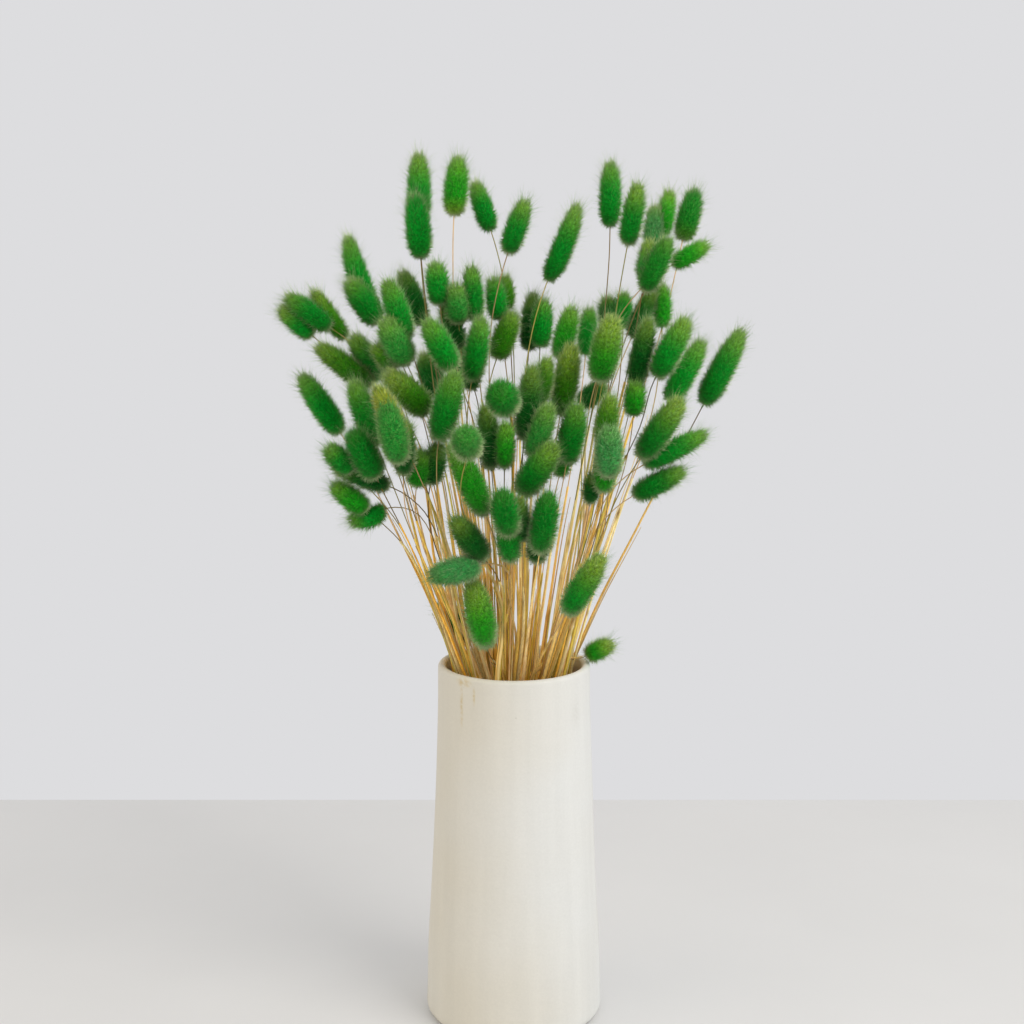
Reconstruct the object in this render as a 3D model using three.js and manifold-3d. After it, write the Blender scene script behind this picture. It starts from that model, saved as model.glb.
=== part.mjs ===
import * as THREE from 'three';
import * as BufferGeometryUtils from 'three/addons/utils/BufferGeometryUtils.js';
import Module from 'manifold-3d';

// Dried bunny tail grass in a tall tapered ceramic vase.
// Millimetres, +Z up, the vase stands on z = 0 and is seen from -Y.

const wasm = await Module();
wasm.setup();

// Vase: driving dimensions
const VASE_HEIGHT = 233;
const VASE_BASE_RADIUS = 57;
const VASE_NECK_RADIUS = 48.3;
const VASE_WAIST_RADIUS = 51.9;
const VASE_WAIST_HEIGHT = 110;
const VASE_WALL = 5;
const VASE_FLOOR = 8;
const VASE_FOOT_ROUNDING = 6;
const VASE_INNER_FOOT_RADIUS = 50;
const VASE_SIDES = 36;
const VASE_FOOT_STEPS = 2;
const VASE_LIP_STEPS = 6;

// Stems: driving dimensions
const STEM_SIDES = 4;
const STEM_FOOT_RADIUS = 1.15;
const STEM_NECK_RADIUS = 0.75;
const STEM_STOUTNESS = 0.25;
const STEM_STOUTNESS_KINDS = 5;
const STEM_STOUTNESS_STRIDE = 7;
const STEM_SPACING = 3.2;
const STEM_FLOOR_SPACING = 2.5;
const STEM_FLOOR_GAP = 0.3;
const STEM_AIR_POINTS = [0.3, 0.6, 0.84];
const STEM_CURVE_SHARE = 1 / 3;
const STEM_LEAN = 0.8;
const MOUTH_SHARE = 0.38;
const MOUTH_REACH = 39;
const MOUTH_DROP = 3;
const MAT_RADIUS = 12.5;
const MAT_HEIGHT = 5;
const MAT_OFFSET = 15;
const MAT_MARGIN = 0.5;
const MAT_SPREAD = 1.2;
const MAT_SIDES = 12;

// Heads: driving dimensions, the rings as shares of a head's length and of its half girth
const HEAD_SIDES = 8;
const HEAD_RINGS = [[0, 0.42], [0.11, 0.86], [0.28, 1], [0.47, 0.99], [0.66, 0.9], [0.84, 0.68]];
const TUFT_DIP = 0.79;
const TUFT_LIFT = 0.07;
const NECK_GAP = 0.3;
const NECK_STEP = 1;
const CLEARANCE = 0.8;
const GROWN_SHARE = 0.74;
const ORDER_GAP = 3;
const SPINE_INSET_LIMIT = 0.4;
const BUNCH_LEAD = 20;

// Shades of the heads
const DEEP = 0x1d5527;
const EMERALD = 0x2b7a37;
const LEAF = 0x4f9641;
const SAGE = 0x82b07c;
const OLIVE = 0x76893a;
const YELLOWED = 0xa9a436;
const STRAW = 0xc9a35c;
const CERAMIC = 0xdcd8cd;
const TUFT_ROUGHNESS = 0.9;
const STRAW_ROUGHNESS = 0.7;
const CERAMIC_ROUGHNESS = 0.8;

// Where a viewer in front of the vase stands, which the places of the heads are given from.
const VIEWER = new THREE.Vector3(-1.3, -1050, 509.9);

// One head as the viewer sees it on the upright plane through the vase's axis: its foot and its tip
// (across, up), how far the foot stands behind that plane, how much further the tip does, its girth,
// its shade and how far its middle bows to the right.
function head(foot, tip, depth, lean, girth, shade, bow = 0) {
  return { foot, tip, depth, lean, girth, shade, bow };
}

// The heads from the top of the bunch down. A row of several is one clump, grown into each other.
const CLUMPS = [
  [
    head([-57.6, 507], [-57.8, 551], 34, 4, 14.2, EMERALD),
    head([-56.7, 486], [-60.6, 527], 24, 2, 15, EMERALD),
  ],
  [head([-36.6, 512], [-33.6, 549], -5, -2, 14.2, LEAF)],
  [head([-14, 503], [-24.6, 534], 52, 8, 12.2, EMERALD)],
  [head([-4.2, 489], [7.4, 523], -12, -4, 13.2, EMERALD)],
  [head([20, 472], [39, 521], 4, 2, 13, EMERALD, 1.4)],
  [head([58.4, 505], [58.4, 546], 22, 4, 13.2, EMERALD)],
  [head([69, 494], [75.6, 533], -20, -5, 13, EMERALD)],
  [
    head([84, 494], [86.2, 519.5], 58, 8, 11.8, SAGE),
    head([90.6, 500], [94.6, 529], 62, 8, 10.8, LEAF),
  ],
  [
    head([79.4, 466], [95, 500.5], -32, -6, 14.2, DEEP),
    head([79.6, 473], [83.6, 499], -14, -4, 12.4, SAGE),
  ],
  [head([102.6, 497], [110.4, 529.5], 28, 5, 13.8, DEEP)],
  [head([96, 482.6], [119.4, 496], -8, -4, 11.4, LEAF)],
  [
    head([72, 438], [86, 469], 14, 3, 12.4, DEEP),
    head([91, 444], [90.6, 472.5], 20, 4, 11.4, LEAF),
  ],
  [
    head([67, 444], [67, 467], 58, 8, 11.5, EMERALD),
    head([58.6, 443], [57, 464.5], 61, 8, 12.6, DEEP),
  ],
  [head([44, 427], [46.6, 458], 42, 8, 11.8, EMERALD)],
  [head([52.4, 411], [61, 452.6], -62, -12, 18, LEAF)],
  [
    head([28.4, 389.5], [36, 436], -46, -9, 15.4, OLIVE),
    head([27.6, 425], [36.2, 458.5], -36, -6, 13.4, LEAF),
  ],
  [
    head([16, 432], [18, 463.5], 8, 2, 13.4, EMERALD),
    head([9, 430], [12, 467], 18, 4, 12.8, DEEP),
  ],
  [head([87.2, 413.5], [107, 451.5], -36, -7, 15.8, EMERALD)],
  [head([95.4, 398], [117, 438], 10, 2, 14.2, EMERALD)],
  [head([116.8, 396.2], [141.2, 444.6], 18, 4, 15.2, EMERALD)],
  [
    head([74.4, 407.5], [83.4, 452], -30, -6, 13.4, DEEP),
    head([74, 390], [75.6, 412.5], -38, -6, 13, LEAF),
  ],
  [
    head([78.2, 363], [104.6, 402], -62, -14, 16.2, EMERALD),
    head([80, 359], [121, 380], -46, -8, 13.2, EMERALD),
  ],
  [head([74, 339.6], [107.4, 357], -46, -10, 13.8, EMERALD)],
  [
    head([59, 352], [59.4, 384], -86, -16, 17, SAGE),
    head([55.2, 371], [60, 404], -74, -10, 13.8, OLIVE),
    head([56, 342], [57, 371], -75, -12, 14, LEAF),
    head([47.4, 335], [49.6, 355.5], -68, -8, 10.8, DEEP),
  ],
  [
    head([32.6, 360], [39.6, 398.5], -52, -12, 16.4, EMERALD),
    head([28, 352], [33, 374], -43, -8, 11.6, LEAF),
  ],
  [head([41, 397], [57, 411], 82, 12, 13, DEEP)],
  [
    head([4, 341], [26, 373], -78, -18, 17.6, EMERALD),
    head([11, 364], [22, 398], -64, -14, 15, SAGE),
    head([6.4, 374], [12, 422.5], -52, -10, 15.4, DEEP),
    head([15, 396], [21, 427], -40, -8, 12.6, OLIVE),
  ],
  [head([-5, 396], [-9, 406.5], -82, -30, 19.5, EMERALD)],
  [
    head([-6, 357], [-5.2, 387], -57, -12, 12.4, LEAF),
    head([-14, 356], [-17.6, 398.5], -54, -10, 13.8, DEEP),
  ],
  [head([-28.8, 368.2], [-30.2, 379.3], -104, -34, 18, SAGE)],
  [head([-17.4, 327], [-39, 375], -74, -14, 16.4, LEAF)],
  [
    head([15.8, 303], [21.8, 342.5], -72, -18, 16.6, EMERALD),
    head([14, 297], [17, 328], -60, -14, 14, DEEP),
  ],
  [
    head([-3, 315], [-8, 343.5], -84, -18, 16.8, EMERALD),
    head([5, 311], [2, 339.5], -74, -14, 13.2, DEEP),
    head([-2, 298], [-5, 327], -72, -14, 14.6, EMERALD),
  ],
  [
    head([-18, 299], [-38, 326.5], -64, -14, 16, DEEP),
    head([-21, 296], [-54, 288], -74, -12, 16.6, SAGE),
  ],
  [head([-17, 242], [-26.6, 287], -60, -18, 17.4, LEAF)],
  [head([32.6, 263.4], [56, 303], -82, -14, 16, EMERALD)],
  [head([45.4, 236.6], [63.2, 245.4], -20, -4, 12.4, LEAF)],
  [
    head([-66, 422], [-80, 451], -50, -10, 18, SAGE),
    head([-65.6, 437], [-78.4, 475], -38, -6, 14.8, EMERALD),
    head([-73.6, 419], [-86, 435], -41, -6, 12.6, OLIVE),
  ],
  [head([-56, 446], [-69, 480], 36, 8, 14, DEEP)],
  [
    head([-83, 447], [-102, 475], 4, 0, 16, EMERALD),
    head([-85.4, 454], [-101.6, 502], 15, 4, 13.2, EMERALD, -2.6),
  ],
  [
    head([-112, 444], [-141, 465], -14, -2, 13.8, EMERALD),
    head([-123.4, 439.2], [-144.6, 457.8], -6, -4, 12.8, EMERALD),
    head([-103, 437], [-124, 469], -5, 0, 11.2, OLIVE, -0.8),
  ],
  [
    head([-34, 447], [-36, 472], -20, -5, 14.8, SAGE),
    head([-45.4, 458], [-48.4, 485.5], -12, -2, 14, EMERALD),
    head([-24, 448], [-26.4, 483.5], -14, -2, 12.6, EMERALD),
    head([-33, 431], [-43.6, 461], -3, 2, 13, DEEP),
  ],
  [
    head([-9, 449], [-13, 476], 8, 2, 12.8, EMERALD),
    head([-4, 455], [-6, 478], 15, 3, 10.4, OLIVE),
    head([-11, 425], [0, 455.5], 4, 0, 14.6, OLIVE),
  ],
  [
    head([-26.4, 411], [-19.6, 452], -28, -4, 14.4, EMERALD),
    head([-27.4, 405.6], [-23.6, 430], -17, 0, 11.4, DEEP),
  ],
  [head([-37.2, 417.6], [-54.2, 450.4], -50, -10, 15.8, EMERALD)],
  [head([-47, 402], [-56, 430], 66, 12, 15.4, DEEP)],
  [head([-30, 411], [-35, 436], 86, 14, 13.4, DEEP)],
  [
    head([-87, 408.6], [-122.8, 434.6], -28, -6, 14.2, OLIVE),
    head([-82, 412], [-100.2, 441], -17, -2, 14.6, DEEP),
  ],
  [head([-107.4, 378.6], [-132.6, 416.8], 6, 2, 14.8, EMERALD)],
  [head([-85, 371], [-100, 413], -38, -8, 15.6, EMERALD)],
  [
    head([-71, 360], [-80, 400], -76, -16, 17.8, SAGE),
    head([-70, 376], [-86, 410], -62, -10, 14, YELLOWED),
    head([-69, 352], [-67, 388], -62, -10, 13.2, DEEP),
  ],
  [head([-52, 392], [-80, 418], -40, -6, 17.6, OLIVE)],
  [head([-47, 374], [-36.4, 418.6], -58, -12, 17.2, EMERALD)],
  [
    head([-86, 351], [-101, 382], -62, -12, 18, EMERALD),
    head([-101, 355], [-117, 371.4], -52, -8, 14.2, EMERALD),
    head([-77, 345.5], [-114, 358.6], -52, -8, 12.8, DEEP),
  ],
  [
    head([-92, 330], [-114, 348], -50, -8, 14.4, LEAF),
    head([-80, 332], [-105, 325], -42, -6, 12.8, EMERALD, -3),
  ],
  [
    head([-61, 346], [-57, 369], -60, -8, 15, LEAF),
    head([-52.4, 347], [-46.4, 374], -52, -8, 13.8, DEEP),
  ],
  [head([-27, 246], [-48, 273], 4, 4, 14, DEEP)],
];

// Relaxing: how many rounds, and how much of each overlap one round takes away
const HEAD_ROUNDS = 200;
const SPREAD_ROUNDS = 300;
const STEM_ROUNDS = 120;
const EASE = 0.3;

const UP = new THREE.Vector3(0, 0, 1);
const NEARLY_BACK = new THREE.Vector3(0, 1, 0.02);
const PARALLEL = 1e-9;
const MERGE_DISTANCE = 1e-4;

// The point that the viewer sees at the given place on the upright plane, moved to a depth.
function sighted([sideways, up], depth) {
  const seen = new THREE.Vector3(sideways, 0, up);
  return seen.sub(VIEWER).multiplyScalar(1 - depth / VIEWER.y).add(VIEWER);
}

// A head's real place and size, once its clump has slid back by the given shift.
function settle(row, shift) {
  const depth = row.depth + BUNCH_LEAD + shift;
  const foot = sighted(row.foot, depth);
  const tip = sighted(row.tip, depth + row.lean);
  const radius = (row.girth / 2) * (1 - depth / VIEWER.y);
  const axis = tip.clone().sub(foot).normalize();
  return { foot, tip, radius, axis, bow: row.bow, shade: row.shade };
}

// The part of a head's axis that keeps its full girth away from both ends.
function spine(body) {
  const inset = Math.min(body.radius, body.foot.distanceTo(body.tip) * SPINE_INSET_LIMIT);
  const lower = body.foot.clone().addScaledVector(body.axis, inset);
  const upper = body.tip.clone().addScaledVector(body.axis, -inset);
  return [lower, upper];
}

// The nearest points of two straight pieces, as shares along each, and the way from one to the other.
function nearest([a, b], [c, d]) {
  const u = b.clone().sub(a);
  const v = d.clone().sub(c);
  const w = a.clone().sub(c);
  const uu = u.dot(u);
  const uv = u.dot(v);
  const vv = v.dot(v);
  const spread = uu * vv - uv * uv;
  const clamp = (value) => Math.min(Math.max(value, 0), 1);
  let s = spread > PARALLEL ? clamp((uv * v.dot(w) - vv * u.dot(w)) / spread) : 0;
  const t = clamp((uv * s + v.dot(w)) / vv);
  s = clamp((uv * t - u.dot(w)) / uu);
  const way = c.clone().addScaledVector(v, t).sub(a.clone().addScaledVector(u, s));
  return { s, t, way, gap: way.length() };
}

// Slides each head along the viewer's line of sight until it is clear of the heads of other clumps, the
// nearer one forward, and is grown into the nearest head before it in its own clump, with the one that
// is given as the nearer of the two in front.
function settleHeads() {
  const rows = CLUMPS.flatMap((clump, index) => clump.map((row) => ({ row, clump: index })));
  const shifts = rows.map(() => 0);
  for (let round = 0; round < HEAD_ROUNDS; round += 1) {
    const bodies = rows.map(({ row }, index) => settle(row, shifts[index]));
    const spines = bodies.map(spine);
    const pushes = rows.map(() => 0);
    bodies.forEach((body, index) => {
      let closest = null;
      for (let other = 0; other < index; other += 1) {
        const meeting = nearest(spines[other], spines[index]);
        const reach = bodies[other].radius + body.radius;
        if (rows[other].clump === rows[index].clump) {
          closest = closest && closest.gap < meeting.gap ? closest : { ...meeting, other, reach };
        } else if (meeting.gap < reach + CLEARANCE) {
          const push = Math.sign(meeting.way.y || 1) * (reach + CLEARANCE - meeting.gap) * EASE;
          pushes[index] += push;
          pushes[other] -= push;
        }
      }
      if (closest) {
        const order = Math.sign(rows[index].row.depth - rows[closest.other].row.depth) || 1;
        const excess = closest.way.y - order * ORDER_GAP;
        if (closest.gap > closest.reach * GROWN_SHARE || excess * order < 0) {
          pushes[index] -= excess * EASE;
          pushes[closest.other] += excess * EASE;
        }
      }
    });
    pushes.forEach((push, index) => {
      shifts[index] += push;
    });
  }
  return rows.map(({ row, clump }, index) => ({ ...settle(row, shifts[index]), clump }));
}

// Spreads points in a flat round patch until each keeps its distance from the others.
function spreadOut(points, spacing, centre, reach) {
  for (let round = 0; round < SPREAD_ROUNDS; round += 1) {
    const pushes = points.map(() => new THREE.Vector2());
    for (let i = 0; i < points.length; i += 1) {
      for (let j = i + 1; j < points.length; j += 1) {
        const way = points[j].clone().sub(points[i]);
        const short = spacing - way.length();
        if (short > 0) {
          way.setLength(short * EASE);
          pushes[i].sub(way);
          pushes[j].add(way);
        }
      }
    }
    points.forEach((point, index) => {
      point.add(pushes[index]).sub(centre).clampLength(0, reach).add(centre);
    });
  }
  return points;
}

// Where a stem ends: just under its head's foot, or lower where that is still within another head.
function findNeck(body, bodies) {
  const neck = body.foot.clone().addScaledVector(body.axis, -NECK_GAP);
  const below = neck.clone().addScaledVector(body.axis, -NECK_GAP);
  const isBuried = (other) => {
    const margin = other.radius + STEM_NECK_RADIUS + NECK_GAP;
    return other !== body && nearest([below, neck], spine(other)).gap < margin;
  };
  while (bodies.some(isBuried)) {
    neck.addScaledVector(body.axis, -NECK_STEP);
    below.addScaledVector(body.axis, -NECK_STEP);
  }
  return neck;
}

// A stem from the floor through the mouth to its neck, as points joined by straight pieces. Above the
// mouth it leans out towards its neck.
function growStem(body, neck, mouth, floor, index) {
  const gate = new THREE.Vector3(mouth.x, mouth.y, VASE_HEIGHT - MOUTH_DROP);
  const root = new THREE.Vector3(floor.x, floor.y, VASE_FLOOR + STEM_FLOOR_GAP);
  const reach = neck.distanceTo(gate) * STEM_CURVE_SHARE;
  const rise = gate.clone().sub(root).normalize();
  rise.lerp(neck.clone().sub(gate).normalize(), STEM_LEAN).normalize();
  const curve = new THREE.CubicBezierCurve3(
    gate,
    gate.clone().addScaledVector(rise, reach),
    neck.clone().addScaledVector(body.axis, -reach),
    neck,
  );
  const points = [root, gate, ...STEM_AIR_POINTS.map((share) => curve.getPoint(share)), neck];
  const kind = (index * STEM_STOUTNESS_STRIDE) % STEM_STOUTNESS_KINDS;
  const stoutness = 1 + STEM_STOUTNESS * ((2 * kind) / (STEM_STOUTNESS_KINDS - 1) - 1);
  return { points, stoutness, body };
}

// Moves the points of a straight piece by a push that acts at a share along it.
function pushPiece(pushes, piece, share, push) {
  pushes[piece].addScaledVector(push, 1 - share);
  pushes[piece + 1].addScaledVector(push, share);
}

// Bends the stems clear of every head and of each other, with both ends held.
function bendStemsClear(stems, bodies) {
  const spines = bodies.map(spine);
  for (let round = 0; round < STEM_ROUNDS; round += 1) {
    const pushes = stems.map((stem) => stem.points.map(() => new THREE.Vector3()));
    stems.forEach((stem, index) => {
      for (let piece = 1; piece < stem.points.length - 1; piece += 1) {
        const line = [stem.points[piece], stem.points[piece + 1]];
        bodies.forEach((body, which) => {
          if (body !== stem.body) {
            const meeting = nearest(line, spines[which]);
            const short = body.radius + STEM_NECK_RADIUS + CLEARANCE - meeting.gap;
            if (short > 0) {
              pushPiece(pushes[index], piece, meeting.s, meeting.way.setLength(-short * EASE));
            }
          }
        });
        for (let other = index + 1; other < stems.length; other += 1) {
          const rival = stems[other].points;
          for (let span = 1; span < rival.length - 1; span += 1) {
            const meeting = nearest(line, [rival[span], rival[span + 1]]);
            const short = STEM_SPACING - meeting.gap;
            if (short > 0) {
              const push = meeting.way.setLength(short * EASE);
              pushPiece(pushes[other], span, meeting.t, push);
              pushPiece(pushes[index], piece, meeting.s, push.negate());
            }
          }
        }
      }
    });
    stems.forEach((stem, index) => {
      for (let point = 2; point < stem.points.length - 1; point += 1) {
        stem.points[point].add(pushes[index][point]);
      }
    });
  }
}

// A closed solid round a line of rings, each a list of points, with a point at either end.
function loft(rings, start, end, splitsLikeTufts) {
  const sides = rings[0].length;
  const corners = [start, ...rings.flat(), end];
  const faces = [];
  const corner = (ring, side) => 1 + ring * sides + (side % sides);
  for (let side = 0; side < sides; side += 1) {
    faces.push(0, corner(0, side + 1), corner(0, side));
    faces.push(corners.length - 1, corner(rings.length - 1, side), corner(rings.length - 1, side + 1));
    for (let ring = 0; ring < rings.length - 1; ring += 1) {
      const [a, b] = [corner(ring, side), corner(ring, side + 1)];
      const [c, d] = [corner(ring + 1, side + 1), corner(ring + 1, side)];
      if (splitsLikeTufts && (ring + side) % 2 === 0) {
        faces.push(a, b, d, b, c, d);
      } else {
        faces.push(a, b, c, a, c, d);
      }
    }
  }
  const geometry = new THREE.BufferGeometry().setFromPoints(corners);
  geometry.setIndex(faces);
  return geometry;
}

// Two directions square to an axis, for an upright one the first to the right and the second to the back.
function squareTo(axis) {
  const right = new THREE.Vector3().crossVectors(NEARLY_BACK, axis).normalize();
  return [right, new THREE.Vector3().crossVectors(axis, right)];
}

// A head: a slim egg whose whole surface stands up in pointed tufts, each rising towards the tip.
function headGeometry(body) {
  const [right, back] = squareTo(body.axis);
  const length = body.foot.distanceTo(body.tip);
  const along = (share) => {
    const sideways = 4 * share * (1 - share) * body.bow;
    return body.foot.clone().addScaledVector(body.axis, share * length).addScaledVector(right, sideways);
  };
  const rings = HEAD_RINGS.map(([share, fullness], ring) => {
    const points = [];
    for (let side = 0; side < HEAD_SIDES; side += 1) {
      const angle = (side / HEAD_SIDES) * 2 * Math.PI;
      const stands = (ring + side) % 2 === 0;
      const centre = along(share + (stands && ring > 0 ? TUFT_LIFT : 0));
      const reach = body.radius * fullness * (stands ? 1 : TUFT_DIP);
      centre.addScaledVector(right, Math.cos(angle) * reach).addScaledVector(back, Math.sin(angle) * reach);
      points.push(centre);
    }
    return points;
  });
  return loft(rings, body.foot, body.tip, true);
}

// A stem: a slim square stalk along its points, thinner towards the neck.
function stemGeometry(stem) {
  const last = stem.points.length - 1;
  const rings = stem.points.map((point, index) => {
    const before = stem.points[Math.max(index - 1, 0)];
    const after = stem.points[Math.min(index + 1, last)];
    const heading = index === last ? stem.body.axis : after.clone().sub(before).normalize();
    const [right, back] = squareTo(index === 0 ? UP : heading);
    const radius = THREE.MathUtils.lerp(STEM_FOOT_RADIUS, STEM_NECK_RADIUS, index / last) * stem.stoutness;
    const points = [];
    for (let side = 0; side < STEM_SIDES; side += 1) {
      const angle = (side / STEM_SIDES) * 2 * Math.PI;
      const corner = point.clone().addScaledVector(right, Math.cos(angle) * radius);
      points.push(corner.addScaledVector(back, Math.sin(angle) * radius));
    }
    return points;
  });
  return loft(rings, stem.points[0], stem.points[last], false);
}

// A quarter or half turn of the vase's outline round a centre (radius, height).
function outlineArc(centreRadius, centreHeight, radius, from, to, steps) {
  const points = [];
  for (let step = 0; step <= steps; step += 1) {
    const angle = THREE.MathUtils.lerp(from, to, step / steps);
    const turned = new THREE.Vector2(Math.cos(angle), Math.sin(angle)).multiplyScalar(radius);
    points.push(turned.add(new THREE.Vector2(centreRadius, centreHeight)));
  }
  return points;
}

// The vase: a cone with a slightly waisted side, a rounded foot and a rounded lip, open inside.
function vaseGeometry() {
  const lip = VASE_WALL / 2;
  const quarter = Math.PI / 2;
  const rounding = VASE_FOOT_ROUNDING;
  const innerRadius = VASE_INNER_FOOT_RADIUS - VASE_WALL;
  const profile = [
    new THREE.Vector2(0, 0),
    ...outlineArc(VASE_BASE_RADIUS - rounding, rounding, rounding, -quarter, 0, VASE_FOOT_STEPS),
    new THREE.Vector2(VASE_WAIST_RADIUS, VASE_WAIST_HEIGHT),
    ...outlineArc(VASE_NECK_RADIUS - lip, VASE_HEIGHT - lip, lip, 0, Math.PI, VASE_LIP_STEPS),
    new THREE.Vector2(VASE_WAIST_RADIUS - VASE_WALL, VASE_WAIST_HEIGHT),
    ...outlineArc(innerRadius, VASE_FLOOR + VASE_WALL, VASE_WALL, 0, -quarter, VASE_FOOT_STEPS),
    new THREE.Vector2(0, VASE_FLOOR),
  ];
  const geometry = new THREE.LatheGeometry(profile, VASE_SIDES);
  geometry.rotateX(quarter);
  return geometry;
}

// The mat that the crowded cut ends of one bunch of stems make on the vase's floor.
function matGeometry(centre) {
  const geometry = new THREE.CylinderGeometry(MAT_RADIUS, MAT_RADIUS, MAT_HEIGHT, MAT_SIDES);
  geometry.rotateX(Math.PI / 2);
  geometry.translate(centre.x, centre.y, VASE_FLOOR + STEM_FLOOR_GAP + MAT_HEIGHT / 2);
  return geometry;
}

// A closed mesh as a solid.
function toSolid(geometry) {
  const bare = geometry.clone();
  bare.deleteAttribute('normal');
  bare.deleteAttribute('uv');
  const merged = BufferGeometryUtils.mergeVertices(bare, MERGE_DISTANCE);
  const vertProperties = new Float32Array(merged.attributes.position.array);
  const triVerts = new Uint32Array(merged.index.array);
  return new wasm.Manifold(new wasm.Mesh({ numProp: 3, vertProperties, triVerts }));
}

// A solid as a closed mesh.
function toGeometry(solid) {
  const mesh = solid.getMesh();
  const geometry = new THREE.BufferGeometry();
  geometry.setAttribute('position', new THREE.BufferAttribute(mesh.vertProperties, 3));
  geometry.setIndex(new THREE.BufferAttribute(mesh.triVerts, 1));
  return geometry;
}

// Several closed meshes grown into each other as one.
function fuse(geometries) {
  return toGeometry(geometries.map(toSolid).reduce((whole, solid) => whole.add(solid)));
}

// A named piece in its own material.
function piece(name, geometry, color, roughness) {
  const material = new THREE.MeshStandardMaterial({ color, roughness, metalness: 0 });
  geometry.computeVertexNormals();
  const mesh = new THREE.Mesh(geometry, material);
  mesh.name = name;
  return mesh;
}

const bodies = settleHeads();
const centre = new THREE.Vector2();
const mouths = spreadOut(
  bodies.map((body) => new THREE.Vector2(body.foot.x, body.foot.y).multiplyScalar(MOUTH_SHARE)),
  STEM_SPACING,
  centre,
  MOUTH_REACH,
);

const bunches = [-1, 1].map((side) => {
  const members = bodies.map((body, index) => index).filter((index) => mouths[index].x * side >= 0);
  const matCentre = new THREE.Vector2(side * MAT_OFFSET, 0);
  const share = MAT_RADIUS / MOUTH_REACH / MAT_SPREAD;
  const starts = members.map((index) => {
    const offset = mouths[index].clone().sub(new THREE.Vector2((side * MOUTH_REACH) / 2, 0));
    return offset.multiplyScalar(share).add(matCentre);
  });
  const floorReach = MAT_RADIUS - STEM_FOOT_RADIUS - MAT_MARGIN;
  const floors = spreadOut(starts, STEM_FLOOR_SPACING, matCentre, floorReach);
  const stems = members.map((index, order) => {
    const neck = findNeck(bodies[index], bodies);
    return growStem(bodies[index], neck, mouths[index], floors[order], index);
  });
  return { name: side < 0 ? 'stems_left' : 'stems_right', stems, matCentre };
});
bendStemsClear(bunches.flatMap((bunch) => bunch.stems), bodies);

const bouquet = new THREE.Group();
bouquet.add(piece('vase', fuse([vaseGeometry()]), CERAMIC, CERAMIC_ROUGHNESS));
bunches.forEach(({ name, stems, matCentre }) => {
  const parts = [matGeometry(matCentre), ...stems.map(stemGeometry)];
  bouquet.add(piece(name, fuse(parts), STRAW, STRAW_ROUGHNESS));
});
CLUMPS.forEach((rows, index) => {
  const clump = bodies.filter((body) => body.clump === index);
  const number = String(index + 1).padStart(2, '0');
  const name = clump.length > 1 ? `heads_${number}` : `head_${number}`;
  bouquet.add(piece(name, fuse(clump.map(headGeometry)), clump[0].shade, TUFT_ROUGHNESS));
});

export default bouquet;
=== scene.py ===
"""Dried bunny tail grass in a tall ceramic vase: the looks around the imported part."""

import logging
import math
from dataclasses import asdict, dataclass, field
from enum import Enum
from typing import Any

import bpy
import numpy as np
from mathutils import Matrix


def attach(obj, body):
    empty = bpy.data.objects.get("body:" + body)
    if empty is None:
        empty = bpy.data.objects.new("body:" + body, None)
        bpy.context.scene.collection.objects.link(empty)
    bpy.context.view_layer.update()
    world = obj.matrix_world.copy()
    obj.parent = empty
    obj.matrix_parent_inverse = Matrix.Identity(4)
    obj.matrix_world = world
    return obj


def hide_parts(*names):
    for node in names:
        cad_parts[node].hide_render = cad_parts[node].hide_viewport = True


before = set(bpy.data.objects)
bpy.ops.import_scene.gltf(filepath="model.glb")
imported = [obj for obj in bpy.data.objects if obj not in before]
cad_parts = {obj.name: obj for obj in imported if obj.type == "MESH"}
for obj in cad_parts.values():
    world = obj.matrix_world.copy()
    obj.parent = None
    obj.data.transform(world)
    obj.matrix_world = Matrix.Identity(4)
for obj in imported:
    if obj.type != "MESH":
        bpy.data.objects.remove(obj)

MM = 0.001
BODY = "root"
BAKE_MAP = "OFBake"
TURN = 2 * math.pi
NEARLY_BACK = np.array((0.0, 1.0, 0.02))
PARALLEL = 1e-9

# Values up a head, as pairs of a share from 0 to 1 and the value there.
Profile = tuple[tuple[float, float], ...]
# The points of one part of a stalk, and its values by name.
Strand = tuple[np.ndarray, dict[str, Any]]

log = logging.getLogger("bouquet")


# Colours


def linear(code: str) -> tuple[float, float, float, float]:
    """Turns a screen colour into the light values that a shader takes.

    Args:
        code: The colour as six hexadecimal digits, red first.

    Returns:
        Red, green, blue and an alpha of 1.
    """
    shares = [int(code[start:start + 2], 16) / 255 for start in (0, 2, 4)]
    light = [share / 12.92 if share <= 0.04045 else ((share + 0.055) / 1.055) ** 2.4 for share in shares]
    return (light[0], light[1], light[2], 1.0)


@dataclass(frozen=True)
class FurTint:
    """The two ends of one dyed fur.

    Attributes:
        root: Screen colour deep in the fur and on the core below it, the dye darkened as painted shade.
        tip: Screen colour at the ends of the hairs.
        slot: The record's material slot that the fur belongs to.
    """

    root: str
    tip: str
    slot: str


class Shade(Enum):
    """The dyes of the seed heads; DEEP and SHADED are darker copies of the emerald, partly painted shade."""

    # DEEP and SHADED: the emerald darkened, partly painted shade of heads that lie in shadow.
    DEEP = FurTint("005414", "12822a", "tuft_deep")
    SHADED = FurTint("0a7a1c", "42ae3a", "tuft_deep")
    EMERALD = FurTint("008a22", "14bc38", "tuft_emerald")
    LEAF = FurTint("149414", "54ca38", "tuft_leaf")
    SAGE = FurTint("269434", "82cc68", "tuft_sage")
    FROSTED = FurTint("3c9a4c", "9cd490", "tuft_sage")
    OLIVE = FurTint("2c7c08", "6eac24", "tuft_olive")
    YELLOWED = FurTint("b0a60a", "ecdc3c", "tuft_olive")


RIPE_ROOT = linear("94ac30")
RIPE_TIP = linear("e4f294")


# The bunch as the viewer sees it


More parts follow.
